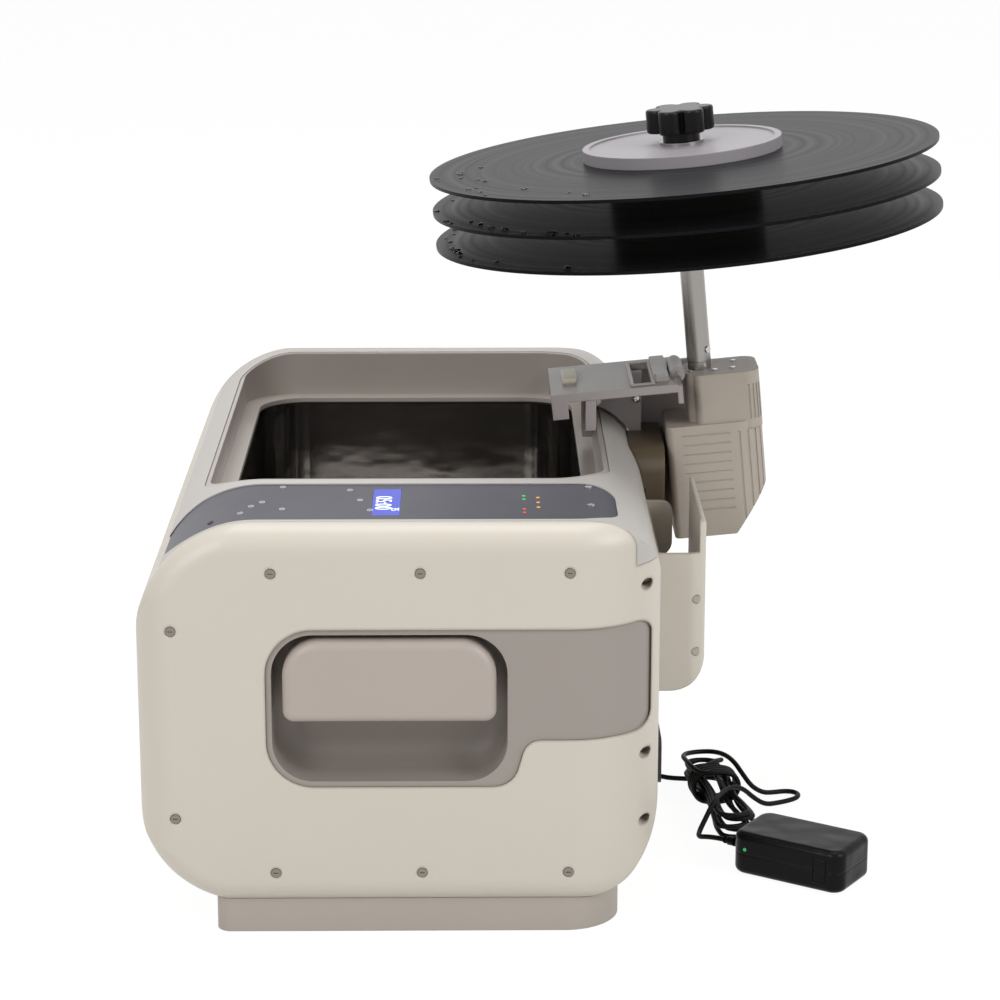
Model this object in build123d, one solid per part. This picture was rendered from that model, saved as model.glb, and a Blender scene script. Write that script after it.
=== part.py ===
from build123d import *
import os
from math import cos, hypot, pi, radians, sin, sqrt, tan

# Record cleaning machine: an ultrasonic tank with a tilting record rack on its rear rim.
# Millimetres.  X = 0 is the middle of the housing's width, Y = 0 the middle of its length and
# Z = 0 the table.  The housing's front faces -X and its rear +X.  The end with the control
# strip, at -Y, is called the panel end, and the other end the plain end.

# ---------------------------------------------------------------- housing sizes
BODY_WIDTH = 280.0
BODY_LENGTH = 461.0
BODY_TOP = 227.7
BODY_UNDERSIDE = 16.7
WALL = 3.0
FRONT_TOP_R = 64.0
FRONT_BOTTOM_R = 58.0
REAR_TOP_R = 40.0
REAR_BOTTOM_R = 50.0
REAR_PLAN_R = 50.0
FRONT_PLAN_R = 20.0
END_EDGE_R = 12.0
RIM_EDGE_R = 15.0
TOP_SEAM_DROP = 25.0
SEAM_LIP = 1.8
LAP = 7.0
TOP_FRAME_END_MARGIN = 14.5
PEDESTAL_FRONT_INSET = 40.0
PEDESTAL_REAR_INSET = 22.0
PEDESTAL_END_INSET = 6.5
PEDESTAL_CORNER_R = 30.0
PEDESTAL_RISE = 8.0
PAD_R = 11.0
PAD_DEPTH = 2.0

# ---------------------------------------------------------------- clearances
SEAM = 0.2
SLIP = 0.3
RUNNING = 0.05
SOFT_GAP = 0.3
FACE_GAP = 0.1

# ---------------------------------------------------------------- tank well
WELL_FRONT_MARGIN = 28.0
WELL_REAR_MARGIN = 24.0
WELL_PANEL_MARGIN = 101.5
WELL_PLAIN_MARGIN = 25.5
WELL_CORNER_R = 34.0
LEDGE_WIDTH = 13.0
LEDGE_DROP = 28.0
SURROUND_WALL = 3.0
GASKET = 1.3
TANK_LIP_WIDTH = 9.0
TANK_SHEET = 1.2
TANK_DEPTH = 132.0
TANK_CORNER_R = 30.0
TANK_FLOOR_R = 14.0
SHELF = 3.0
DUCER_R = 22.0
DUCER_MASS_R = 17.0
DUCER_PLATE = 8.0
DUCER_CLEARANCE = 12.5
DUCER_COLUMNS = 2
DUCER_ROWS = 3
DUCER_PITCH_X = 90.0
DUCER_PITCH_Y = 95.0
HEATER = 4.0
HEATER_WIDTH = 26.0

# ---------------------------------------------------------------- control strip
STRIP_END_MARGIN = 18.5
STRIP_FRONT_INSET = 13.5
STRIP_WIDTH = 74.0
STRIP_REAR_MARGIN = 24.0
STRIP_CORNER_R = 22.0
STRIP_DEPTH = 1.6
STRIP_SINK = 0.6
DISPLAY_X = -7.5
DISPLAY_WIDTH = 15.0
DISPLAY_LENGTH = 54.0
DISPLAY_DEPTH = 1.0
BOARD = 1.6
PANEL_BOARD_X = 20.0
PANEL_BOARD_WIDTH = 150.0
PANEL_BOARD_DEPTH = 56.0
PANEL_BOARD_DROP = 10.0
STRIP_SCREW_INSET = 38.0
STRIP_SCREW_PITCH = 37.6
STRIP_SCREW_R = 2.0

# ---------------------------------------------------------------- end caps, handles, fasteners
CAP_SCREW_R = 2.6
CAP_SCREW_SHANK_R = 1.5
CAP_SCREW_HEAD = 1.4
CAP_SCREW_LENGTH = 14.0
SCREW_ROW_X = 11.3
SCREW_ROW_PITCH = 78.3
SCREW_TOP_MARGIN = 24.5
SCREW_BOTTOM_MARGIN = 19.5
SCREW_FRONT_MARGIN = 20.0
SCREW_FRONT_MID_RISE = 102.8
SCREW_FRONT_PITCH = 104.6
CORNER_SCREW_INSET = 9.0
CORNER_HOLE_R = 3.2
CORNER_HOLE_DEPTH = 14.0
CORNER_SCREW_RISES = (174.2, 79.6, 41.2)
RING_WIDTH = 30.0
END_SHEET = 1.5
TAB_WIDTH = 120.0
POCKET_FRONT_X = -70.8
POCKET_REAR_X = 60.0
POCKET_BOTTOM_RISE = 68.0
POCKET_TOP_RISE = 155.5
POCKET_CORNER_R = 25.0
BAND_BOTTOM_RISE = 94.0
BAND_STEP = 7.0
BAND_END_INSET = 6.0
BAND_END_R = 9.0
BAND_FOOT_R = 14.0
BAND_TURN_R = 10.0
TRIM_SKIN = 2.6
TRIM_SINK = 1.5
POCKET_RIM = 3.0
POCKET_WALL = 2.5
POCKET_FLOOR_R = 12.0
POCKET_DEPTH = 36.0
GRIP_WIDTH = 113.0
GRIP_HEIGHT = 45.0
GRIP_THICK = 17.0
GRIP_PROUD = 3.0
GRIP_ROOT = 12.0
GRIP_GAP = 2.5
GRIP_DOME_R = 5.0

# ---------------------------------------------------------------- fan, inlet, board
FAN_MARGIN = 60.5
FAN_RISE = 99.0
FAN_SIZE = 60.0
FAN_DEPTH = 20.0
FAN_BORE_R = 28.5
FAN_HUB_R = 12.0
FAN_PIN_R = 1.5
FAN_CUP = 5.0
FAN_BLADES = 7
VENT_SLOTS = 7
VENT_PITCH = 8.0
VENT_SLOT = 4.0
INLET_MARGIN = 30.5
INLET_RISE = 61.0
INLET_WIDTH = 48.0
INLET_HEIGHT = 26.0
INLET_BODY_WIDTH = 30.0
INLET_BODY_HEIGHT = 22.0
INLET_DEPTH = 24.0
INLET_LIP = 2.5
MAIN_BOARD_WIDTH = 150.0
MAIN_BOARD_DEPTH = 46.0
MAIN_BOARD_X = -30.0
MAIN_BOARD_MARGIN = 31.5
BOARD_POST_R = 4.0
STANDOFF = 8.0
PART_SINK = 0.5
TRANSFORMER_START = 12.0
TRANSFORMER_LENGTH = 34.0
TRANSFORMER_HALF = 14.0
TRANSFORMER_HEIGHT = 30.0
COOLER_START = 60.0
COOLER_LENGTH = 40.0
COOLER_HEIGHT = 34.0
COOLER_BACK = 4.0
COOLER_FINS = 7
COOLER_FIN = 2.0
COOLER_FIN_PITCH = 6.0
COOLER_FIN_DEPTH = 12.0
CAPACITOR_START = 116.0
CAPACITOR_PITCH = 18.0
CAPACITOR_R = 8.0
CAPACITOR_HEIGHT = 26.0

# ---------------------------------------------------------------- rear holder
HOLDER_NEAR_Y = -120.0
HOLDER_LENGTH = 103.0
HOLDER_OUT = 30.0
HOLDER_TOP_DROP = 46.0
HOLDER_HEIGHT = 80.5
HOLDER_FIN_RISE = 18.0
HOLDER_WALL = 3.0
HOLDER_CORNER_R = 10.0
HOLDER_BOTTOM_R = 20.0
HOLDER_TAB_OUT = 17.0
HOLDER_TAB_DROP = 30.0
HOLDER_TAB_RISE = 4.0
HOLDER_SCREW_R = 2.2
HOLDER_SCREW_INSET = 5.5

# ---------------------------------------------------------------- rack: shaft frame and hinge
# The rack's own sizes are along its shaft, which leans over the tank by RACK_TILT.  Its
# points are written (x, y, z) from the shaft's foot, with z up the shaft.
RACK_TILT = 5.4
SHAFT_OUT = 36.0
SHAFT_Y = 36.6
SHAFT_BASE_RISE = 26.0
HINGE_X = -14.5
HINGE_Z = 1.0
KNUCKLE_R = 4.5
HINGE_PIN_R = 2.0
CASE_KNUCKLE = 16.0
SADDLE_KNUCKLE = 9.0
KNUCKLE_GAP = 0.3

# ---------------------------------------------------------------- saddle
SADDLE_FRONT_X = -91.0
SADDLE_REAR_X = -13.0
SADDLE_HALF = 38.0
SADDLE_PLATE = 3.0
SADDLE_SHEET = 3.0
SADDLE_NEAR_FLANGE = 5.0
SADDLE_END_WALL = 15.0
SADDLE_REAR_WALL = 12.0
SADDLE_REAR_WALL_START = 20.0
SADDLE_TAB = 9.5
INNER_LEG_THICK = 6.2
INNER_LEG_INSET = 34.0
INNER_LEG_NEAR_Y = -1.0
INNER_LEG_STEP_Y = 50.0
INNER_LEG_UPPER_DROP = 4.0
INNER_LEG_LOWER_DROP = 20.0
FAR_WALL_RISE = 2.0
FAR_WALL_REACH = 9.0
FAR_WALL_FOOT = 22.0
RIM_PAD = 2.0
LEG_THICK = 11.5
LEG_OFF = 2.0
LEG_OVERLAP = 11.0
LEG_FLANGE_REACH = 24.0
LEG_FLANGE_CLEARANCE = 2.0
LEG_FLANGE_TOP_DROP = 3.0
LEG_FLANGE_FOOT_DROP = 7.0
LEG_NEAR_Y = -0.5
LEG_BOTTOM_DROP = 65.0
LEG_TOP_DROP = 16.0
LEG_SHOULDER_R = 14.0
LEG_PAD_RISE = 1.5
LEG_PAD_HEIGHT = 12.0
SADDLE_SCREW_R = 2.4
SADDLE_SCREW_HEAD = 1.4
SADDLE_SCREW_PLACES = ((-25.4, 2.4), (-1.4, 4.2))
WINDOW_X = -36.0
WINDOW_WIDTH = 10.5
WINDOW_NEAR_Y = -32.0
WINDOW_FAR_Y = 24.0
LUG_X = -79.0
LUG_WIDTH = 8.0
LUG_NEAR_Y = -11.0
LUG_LENGTH = 27.0
LUG_HEIGHT = 3.0
BUTTON_X = -24.5
BUTTON_WIDTH = 9.0
BUTTON_NEAR_Y = -28.0
BUTTON_LENGTH = 62.0
BUTTON_THICK = 2.4
BUTTON_BUMP = 2.0
BUTTON_STEM = 3.0
BUTTON_STEM_LENGTH = 8.0
BUTTON_FOOT = 2.0
BUTTON_TRAVEL = 4.0
JACK_Y = 56.0
JACK_R = 4.6
JACK_BORE_R = 2.8
JACK_LENGTH = 13.0
JACK_PIN_R = 0.9

# ---------------------------------------------------------------- motor case
CASE_FRONT_X = -24.0
CASE_UPPER_FRONT_X = -5.0
CASE_NECK_FRONT_X = -9.5
CASE_NECK_HALF = 15.0
CASE_REAR_X = 34.5
CASE_HALF = 23.5
CASE_UPPER_HALF = 21.5
CASE_HEIGHT = 99.0
CASE_STEP_DROP = 30.0
CASE_WALL = 2.5
CASE_TOP_WALL = 4.5
CASE_CORNER_R = 9.0
CASE_EDGE_R = 4.0
CASE_LOWER_R = 18.0
CASE_CHAMFER_HEIGHT = 28.0
CASE_CHAMFER_REACH = 21.0
CASE_SPLIT = 0.1
TOP_PLATE = 2.0
TOP_PLATE_FRONT_X = -8.3
TOP_PLATE_REAR_X = 30.0
TOP_PLATE_HALF = 13.0
TOP_PLATE_R = 6.0
TOP_SCREW_R = 1.6
TOP_SCREW_SHANK_R = 0.8
TOP_SCREW_HEAD = 0.9
TOP_SCREW_PLACES = ((-6.2, -7.4), (8.5, -10.6), (21.1, 9.7), (19.5, -9.2))
GROOVE = 0.35
GROOVE_WIDTH = 1.0
GROOVE_PITCH = 5.8
GROOVE_COUNT = 9
GROOVE_START_X = -15.0
GROOVE_END_X = 13.5
RIB_GROOVES = 5
RIB_GROOVE_DEPTH = 0.5
RIB_GROOVE_WIDTH = 1.4
RIB_GROOVE_TOP_DROP = 8.0
RIB_GROOVE_FOOT_RISE = 6.0
MOTOR_X = 12.0
MOTOR_R = 15.0
MOTOR_LENGTH = 52.0
GEARBOX_FRONT_X = -6.5
GEARBOX_REAR_X = 28.0
GEARBOX_HALF = 12.0
GEARBOX_HEIGHT = 19.5
DRIVE_R = 3.0
DRIVE_DEPTH = 12.0
DRIVE_RISE = 22.0
BUSH_R = 7.0
BUSH_DEPTH = 4.5
BUSH_RISE = 4.7

# ---------------------------------------------------------------- spindle and records
TUBE_R = 7.2
STUD_R = 3.5
STUD_TOP = 154.0
SET_SCREW_R = 2.0
SET_SCREW_PROUD = 1.0
SET_SCREW_Z = 12.0
SET_SCREW_TURN = -45.0
RECORD_R = 150.8
RECORD = 2.0
RECORD_PITCH = 20.1
RECORD_COUNT = 3
LOWEST_RECORD = 88.8
BACKING_R = 45.0
BACKING = 4.0
SPACER_R = 45.0
CLAMP_R = 59.0
CLAMP = 7.0
CLAMP_RIM = 4.0
CLAMP_DISH = 1.0
WASHER_R = 13.0
WASHER = 1.5
KNOB_NECK_R = 11.0
KNOB_NECK = 5.5
KNOB_R = 20.0
KNOB_HEAD = 14.0
KNOB_LOBES = 6
KNOB_LOBE_R = 7.0
KNOB_EDGE_R = 1.5
KNOB_BORE_DEPTH = 17.5

# ---------------------------------------------------------------- supply cord and adapter
CORD_R = 1.5
PLUG_R = 4.0
PLUG_BODY = 26.5
PLUG_GRIP_R = 2.4
PLUG_GRIP = 4.0
PLUG_TIP_R = 2.75
PLUG_TIP = 8.5
RUN_SHARE = 0.45
ADAPTER_LENGTH = 69.0
ADAPTER_WIDTH = 41.0
ADAPTER_HEIGHT = 25.0
ADAPTER_CORNER_R = 8.0
ADAPTER_EDGE_R = 4.0
ADAPTER_WALL = 2.5
ADAPTER_SEAM = 0.1
ADAPTER_X = 224.6
ADAPTER_Y = -143.6
ADAPTER_TURN = -33.0
RELIEF_R = 2.6
RELIEF_LENGTH = 12.0
PRONG_LENGTH = 17.0
PRONG_WIDTH = 6.3
PRONG_THICK = 1.5
PRONG_PITCH = 12.7
HANK_LENGTH = 112.0
HANK_WIDTH = 30.0
HANK_HEIGHT = 22.0
HANK_EDGE_R = 9.0
HANK_END_R = 14.0
HANK_X = 186.0
HANK_Y = -42.0
HANK_TURN = 9.0
LOOP_HEIGHT = 3.4
LOOP_X = 214.0
LOOP_Y = -28.0
LOOP_LENGTH = 44.0
LOOP_WIDTH = 30.0
LOOP_TURN = -8.0
SUPPLY_BENDS = (
    (147.4, 56.0, 113.7),
    (146.4, 55.5, 83.7),
    (145.4, 54.5, 53.7),
    (145.2, 51.0, 26.7),
    (146.2, 40.0, 3.2),
    (148.5, 9.0, 1.7),
    (178.0, 4.0, 1.8),
)
ADAPTER_ROUTE = (
    (185.6, -118.3, 9.9),
    (170.5, -108.5, 9.9),
    (169.5, -89.5, 9.5),
    (183.0, -77.5, 9.0),
)

# ---------------------------------------------------------------- places worked out from the sizes
FRONT = -BODY_WIDTH / 2
REAR = BODY_WIDTH / 2
PANEL_END = -BODY_LENGTH / 2
PLAIN_END = BODY_LENGTH / 2
WELL_X0 = FRONT + WELL_FRONT_MARGIN
WELL_X1 = REAR - WELL_REAR_MARGIN
WELL_Y0 = PANEL_END + WELL_PANEL_MARGIN
WELL_Y1 = PLAIN_END - WELL_PLAIN_MARGIN
WELL_X = (WELL_X0 + WELL_X1) / 2
WELL_Y = (WELL_Y0 + WELL_Y1) / 2
LEDGE_Z = BODY_TOP - LEDGE_DROP
LIP_TOP = LEDGE_Z - SURROUND_WALL - GASKET
TANK_FLOOR = LIP_TOP - TANK_DEPTH
CAP_DEPTH = REAR_PLAN_R
SHELL_HALF = BODY_LENGTH / 2 - CAP_DEPTH
FAN_Y = SHELL_HALF - FAN_MARGIN
FAN_Z = BODY_UNDERSIDE + FAN_RISE
INLET_Y = -SHELL_HALF + INLET_MARGIN
INLET_Z = BODY_UNDERSIDE + INLET_RISE
MAIN_BOARD_Y = -SHELL_HALF + MAIN_BOARD_MARGIN
FRAME_HALF = BODY_LENGTH / 2 - TOP_FRAME_END_MARGIN
SEAM_Z = BODY_TOP - TOP_SEAM_DROP
SCREW_FRONT_MID_Z = BODY_UNDERSIDE + SCREW_FRONT_MID_RISE
POCKET_BOTTOM_Z = BODY_UNDERSIDE + POCKET_BOTTOM_RISE
POCKET_TOP_Z = BODY_UNDERSIDE + POCKET_TOP_RISE
BAND_BOTTOM_Z = BODY_UNDERSIDE + BAND_BOTTOM_RISE
SHAFT_X = REAR + SHAFT_OUT
SHAFT_BASE_Z = BODY_TOP + SHAFT_BASE_RISE
SADDLE_CEILING = SHAFT_BASE_Z + 10
INNER_LEG_X = REAR - INNER_LEG_INSET
INNER_LEG_UPPER_Z = BODY_TOP - INNER_LEG_UPPER_DROP
INNER_LEG_LOWER_Z = BODY_TOP - INNER_LEG_LOWER_DROP
FAR_WALL_BOTTOM_Z = BODY_TOP + FAR_WALL_RISE
LEG_BOTTOM_Z = BODY_TOP - LEG_BOTTOM_DROP
LEG_TOP_Z = BODY_TOP - LEG_TOP_DROP
RACK = Location((SHAFT_X, SHAFT_Y, SHAFT_BASE_Z), (0, -RACK_TILT, 0))
FAR_WALL_Y = SHAFT_Y + SADDLE_HALF - SADDLE_SHEET
HOLDER_TOP_Z = BODY_TOP - HOLDER_TOP_DROP
HOLDER_BOTTOM_Z = HOLDER_TOP_Z - HOLDER_HEIGHT
JACK_X = REAR + LEG_OFF + LEG_THICK / 2
SUPPLY_START = (JACK_X, JACK_Y, LEG_BOTTOM_Z - PLUG_BODY - PLUG_GRIP)
TOP_DISC_Z = LOWEST_RECORD + RECORD_PITCH * (RECORD_COUNT - 1) + RECORD
WASHER_Z = TOP_DISC_Z + CLAMP - CLAMP_DISH + RUNNING
KNOB_Z = WASHER_Z + WASHER
BOARD_Z = BODY_UNDERSIDE + WALL + STANDOFF
PANEL_BOARD_TOP = BODY_TOP - PANEL_BOARD_DROP


# ---------------------------------------------------------------- shape helpers
def keep(name, shape):
    """Name a finished sub-part and write it to its own file."""
    shape.label = name
    export_step(shape, f"parts/{name}.step")


def outline(points, radii):
    return make_face(FilletPolyline(*points, radius=radii, close=True))


def rectangle(x0, x1, y0, y1):
    return [(x0, y0), (x1, y0), (x1, y1), (x0, y1)]


def along_x(points, radii, x0, x1):
    """Extrude an outline drawn in (Y, Z) from x0 to x1."""
    plane = Plane(origin=(x0, 0, 0), x_dir=(0, 1, 0), z_dir=(1, 0, 0))
    return extrude(plane * outline(points, radii), x1 - x0)


def along_y(points, radii, y0, y1):
    """Extrude an outline drawn in (X, Z) from y0 to y1."""
    plane = Plane(origin=(0, y1, 0), x_dir=(1, 0, 0), z_dir=(0, -1, 0))
    return extrude(plane * outline(points, radii), y1 - y0)


def along_z(points, radii, z0, z1):
    """Extrude an outline drawn in (X, Y) from z0 to z1."""
    return extrude(Plane.XY.offset(z0) * outline(points, radii), z1 - z0)


def block(x0, x1, y0, y1, z0, z1):
    place = Pos((x0 + x1) / 2, (y0 + y1) / 2, (z0 + z1) / 2)
    return place * Box(x1 - x0, y1 - y0, z1 - z0)


def rod_x(x0, x1, y, z, radius):
    return Pos((x0 + x1) / 2, y, z) * Rot(0, 90, 0) * Cylinder(radius, x1 - x0)


def rod_y(x, y0, y1, z, radius):
    return Pos(x, (y0 + y1) / 2, z) * Rot(90, 0, 0) * Cylinder(radius, y1 - y0)


def rod_z(x, y, z0, z1, radius):
    return Pos(x, y, (z0 + z1) / 2) * Cylinder(radius, z1 - z0)


def group(shapes):
    return Compound(children=[solid for shape in shapes for solid in shape.solids()])


def mirror_end(shape):
    """The plain end's copy of a piece drawn at the panel end."""
    return mirror(shape, about=Plane.XZ)


# ---------------------------------------------------------------- housing
def housing(inset):
    """The whole outer form of the housing, moved inwards by inset (outwards if negative)."""
    x0 = FRONT + inset
    x1 = REAR - inset
    y0 = PANEL_END + inset
    y1 = PLAIN_END - inset
    profile = rectangle(x0, x1, BODY_UNDERSIDE + inset, BODY_TOP - inset)
    side_radii = [r - inset for r in (FRONT_BOTTOM_R, REAR_BOTTOM_R, REAR_TOP_R, FRONT_TOP_R)]
    plan_radii = [r - inset for r in (FRONT_PLAN_R, REAR_PLAN_R, REAR_PLAN_R, FRONT_PLAN_R)]
    long_form = along_y(profile, side_radii, y0, y1)
    end_edges = long_form.faces().filter_by(Axis.Y).edges()
    plan_form = along_z(rectangle(x0, x1, y0, y1), plan_radii, BODY_UNDERSIDE + inset, BODY_TOP - inset)
    rim_edges = plan_form.faces().filter_by(Axis.Z).edges()
    return fillet(end_edges, END_EDGE_R - inset) & fillet(rim_edges, RIM_EDGE_R - inset)


def well(grow, z0, z1):
    points = rectangle(WELL_X0 - grow, WELL_X1 + grow, WELL_Y0 - grow, WELL_Y1 + grow)
    return along_z(points, WELL_CORNER_R + grow, z0, z1)


def tank_room(grow, z0, z1):
    shift = LEDGE_WIDTH - grow
    points = rectangle(WELL_X0 + shift, WELL_X1 - shift, WELL_Y0 + shift, WELL_Y1 - shift)
    return along_z(points, TANK_CORNER_R + grow, z0, z1)


def slab_room(y0, y1, z0, z1):
    return block(-BODY_WIDTH, BODY_WIDTH, y0, y1, z0, z1)


def cap_room(gap):
    """Space taken by the panel end cap, with a gap on its seams."""
    low = slab_room(PANEL_END - 5, -SHELL_HALF - gap, 0, SEAM_Z - gap)
    return low + slab_room(PANEL_END - 5, -FRAME_HALF - gap, 0, BODY_TOP + 5)


def trim_outline(grow):
    """Pocket and band in one outline, drawn in (X, Z)."""
    band_end = REAR - BAND_END_INSET + grow
    points = [
        (POCKET_FRONT_X - grow, POCKET_BOTTOM_Z - grow),
        (POCKET_REAR_X + grow, POCKET_BOTTOM_Z - grow),
        (POCKET_REAR_X + BAND_STEP + grow, BAND_BOTTOM_Z - grow),
        (band_end, BAND_BOTTOM_Z - grow),
        (band_end, POCKET_TOP_Z + grow),
        (POCKET_FRONT_X - grow, POCKET_TOP_Z + grow),
    ]
    pocket_r = POCKET_CORNER_R + grow
    end_r = BAND_END_R + grow
    return points, [pocket_r, BAND_FOOT_R + grow, BAND_TURN_R - grow, end_r, end_r, pocket_r]


def trim_room(grow, y1):
    points, radii = trim_outline(grow)
    return along_y(points, radii, PANEL_END - 5, y1)


def cap_screw_places():
    rows = [SCREW_ROW_X + SCREW_ROW_PITCH * step for step in (-1, 0, 1)]
    places = [(x, BODY_TOP - SCREW_TOP_MARGIN) for x in rows]
    places += [(x, BODY_UNDERSIDE + SCREW_BOTTOM_MARGIN) for x in rows]
    front_x = FRONT + SCREW_FRONT_MARGIN
    for side in (-0.5, 0.5):
        places.append((front_x, SCREW_FRONT_MID_Z + side * SCREW_FRONT_PITCH))
    return places


def corner_screw_heights():
    return [BODY_UNDERSIDE + rise for rise in CORNER_SCREW_RISES]


def corner_face_y(inset):
    """Y of the rounded rear corner at the corner screws' distance from the rear."""
    across = REAR_PLAN_R - inset
    return -SHELL_HALF - sqrt(REAR_PLAN_R**2 - across**2)


OUTER = housing(0)
INNER = housing(WALL)
SKIN = OUTER - INNER


def make_end_cap():
    """Moulded cap over the panel end, with its rear corner's deep screw holes."""
    cap = SKIN & cap_room(0)
    seat = corner_face_y(CORNER_SCREW_INSET) + CORNER_HOLE_DEPTH
    x = REAR - CORNER_SCREW_INSET
    for z in corner_screw_heights():
        sleeve = rod_y(x, PANEL_END, seat + WALL, z, CORNER_HOLE_R + WALL)
        cap += sleeve & housing(SEAM) & cap_room(0)
    cap -= trim_room(SEAM, -SHELL_HALF + 5)
    for x_row, z in cap_screw_places():
        cap -= rod_y(x_row, PANEL_END - 1, PANEL_END + CAP_SCREW_HEAD, z, CAP_SCREW_R + SLIP)
        cap -= rod_y(x_row, PANEL_END, PANEL_END + WALL + 1, z, CAP_SCREW_SHANK_R + SLIP)
    for z in corner_screw_heights():
        cap -= rod_y(x, PANEL_END - 1, seat, z, CORNER_HOLE_R)
        cap -= rod_y(x, seat, seat + WALL + 1, z, CAP_SCREW_SHANK_R + SLIP)
    return cap


def make_cap_screws():
    screws = []
    seat = corner_face_y(CORNER_SCREW_INSET) + CORNER_HOLE_DEPTH
    places = [(x, PANEL_END + CAP_SCREW_HEAD, z) for x, z in cap_screw_places()]
    places += [(REAR - CORNER_SCREW_INSET, seat, z) for z in corner_screw_heights()]
    for x, y, z in places:
        head = rod_y(x, y - CAP_SCREW_HEAD, y, z, CAP_SCREW_R)
        shank = rod_y(x, y, y + CAP_SCREW_LENGTH, z, CAP_SCREW_SHANK_R)
        socket = Pos(x, y - CAP_SCREW_HEAD, z) * Box(CAP_SCREW_R, CAP_SCREW_HEAD, 0.6)
        screws.append(head + shank - socket)
    return group(screws)


def make_shell():
    """Sleeve between the caps, with its seam lip, tank shelf, board posts, vents and inlet hole."""
    shell = SKIN & slab_room(-SHELL_HALF + SEAM, SHELL_HALF - SEAM, 0, SEAM_Z - SEAM)
    liner = housing(WALL + SLIP)
    lip = liner - housing(WALL + SEAM_LIP)
    foot = housing(WALL / 2) - liner
    lip_half = SHELL_HALF - LAP - SLIP
    shell += lip & slab_room(-lip_half, lip_half, SEAM_Z - LAP, SEAM_Z + LAP)
    shell += foot & slab_room(-lip_half, lip_half, SEAM_Z - LAP, SEAM_Z - SEAM)
    shelf_top = LIP_TOP - TANK_SHEET
    shelf_room = slab_room(WELL_Y0, WELL_Y1, shelf_top - SHELF, shelf_top)
    inside = slab_room(-lip_half, lip_half, 0, BODY_TOP)
    shelf = shelf_room & housing(WALL / 2) & inside
    shelf += tank_room(TANK_LIP_WIDTH + TANK_SHEET, shelf_top - SHELF, shelf_top)
    shell += shelf - tank_room(TANK_SHEET + SLIP, 0, BODY_TOP)
    posts = [rod_z(x, y, BODY_UNDERSIDE, BOARD_Z, BOARD_POST_R) for x, y in board_post_places()]
    within = housing(WALL / 2)
    for post in posts:
        shell += post & within
    for step in range(VENT_SLOTS):
        z = FAN_Z + VENT_PITCH * (step - (VENT_SLOTS - 1) / 2)
        reach = sqrt(FAN_BORE_R**2 - (z - FAN_Z) ** 2) - 2
        slot = rectangle(FAN_Y - reach, FAN_Y + reach, z - VENT_SLOT / 2, z + VENT_SLOT / 2)
        shell -= along_x(slot, VENT_SLOT / 2 - 0.1, REAR - WALL - 1, REAR + 1)
    half_width = INLET_BODY_WIDTH / 2 + SLIP
    half_height = INLET_BODY_HEIGHT / 2 + SLIP
    hole = rectangle(
        INLET_Y - half_width, INLET_Y + half_width, INLET_Z - half_height, INLET_Z + half_height
    )
    shell -= along_x(hole, 2, REAR - WALL - 1, REAR + 1)
    return shell


def board_post_places():
    half_x = MAIN_BOARD_WIDTH / 2 - BOARD_POST_R
    half_y = MAIN_BOARD_DEPTH / 2 - BOARD_POST_R
    return [
        (MAIN_BOARD_X + side_x * half_x, MAIN_BOARD_Y + side_y * half_y)
        for side_x in (-1, 1)
        for side_y in (-1, 1)
    ]


def make_end_frame():
    """Sheet ring that the end cap's screws hold, with two tabs that lap into the shell."""
    inset = TRIM_SINK + TRIM_SKIN + SLIP
    outer = housing(inset)
    end_y = PANEL_END + CAP_SCREW_LENGTH - END_SHEET
    tab_end = -SHELL_HALF + LAP
    frame = block(-BODY_WIDTH, BODY_WIDTH, end_y, end_y + END_SHEET, 0, BODY_TOP)
    half = TAB_WIDTH / 2
    low = BODY_UNDERSIDE + inset
    frame += block(-half, half, end_y, tab_end, low, low + END_SHEET)
    front = FRONT + inset
    z0 = SCREW_FRONT_MID_Z - half / 2
    frame += block(front, front + END_SHEET, end_y, tab_end, z0, z0 + half)
    frame &= outer
    middle = rectangle(
        FRONT + RING_WIDTH, REAR - RING_WIDTH, BODY_UNDERSIDE + RING_WIDTH, BODY_TOP - RING_WIDTH
    )
    frame -= along_y(middle, RING_WIDTH / 2, end_y - 1, end_y + END_SHEET + 1)
    frame -= pocket_form(-POCKET_WALL - 1, end_y - 1, end_y + END_SHEET + 1)
    for x, z in cap_screw_places():
        frame -= rod_y(x, end_y - 1, end_y + END_SHEET + 1, z, CAP_SCREW_SHANK_R + RUNNING)
    return frame


def make_top_frame():
    """Light rim piece round the well, with the strip's seat and the display board's posts."""
    frame = SKIN & slab_room(-FRAME_HALF + SEAM, FRAME_HALF - SEAM, SEAM_Z + SEAM, BODY_TOP + 5)
    frame -= well(0, 0, BODY_TOP + 5)
    frame -= strip_form(SEAM, -2.0, STRIP_SINK + STRIP_DEPTH + SEAM / 2)
    for x, y in panel_post_places():
        frame += rod_z(x, y, PANEL_BOARD_TOP, BODY_TOP - WALL + 0.5, BOARD_POST_R)
    for x, y in strip_screw_places():
        frame -= rod_z(x, y, BODY_TOP - WALL - 1, BODY_TOP, 1.2 + RUNNING)
    return frame


def strip_form(grow, top_inset, bottom_inset):
    """A sheet that follows the top and rolls over the front edge."""
    y0 = PANEL_END + STRIP_END_MARGIN - grow
    y1 = PANEL_END + STRIP_END_MARGIN + STRIP_WIDTH + grow
    x1 = REAR - STRIP_REAR_MARGIN + grow
    plan = along_z(
        rectangle(FRONT + STRIP_FRONT_INSET - grow, x1, y0, y1),
        STRIP_CORNER_R + grow,
        SEAM_Z + SEAM,
        BODY_TOP + 5,
    )
    return (housing(top_inset) - housing(bottom_inset)) & plan


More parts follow.
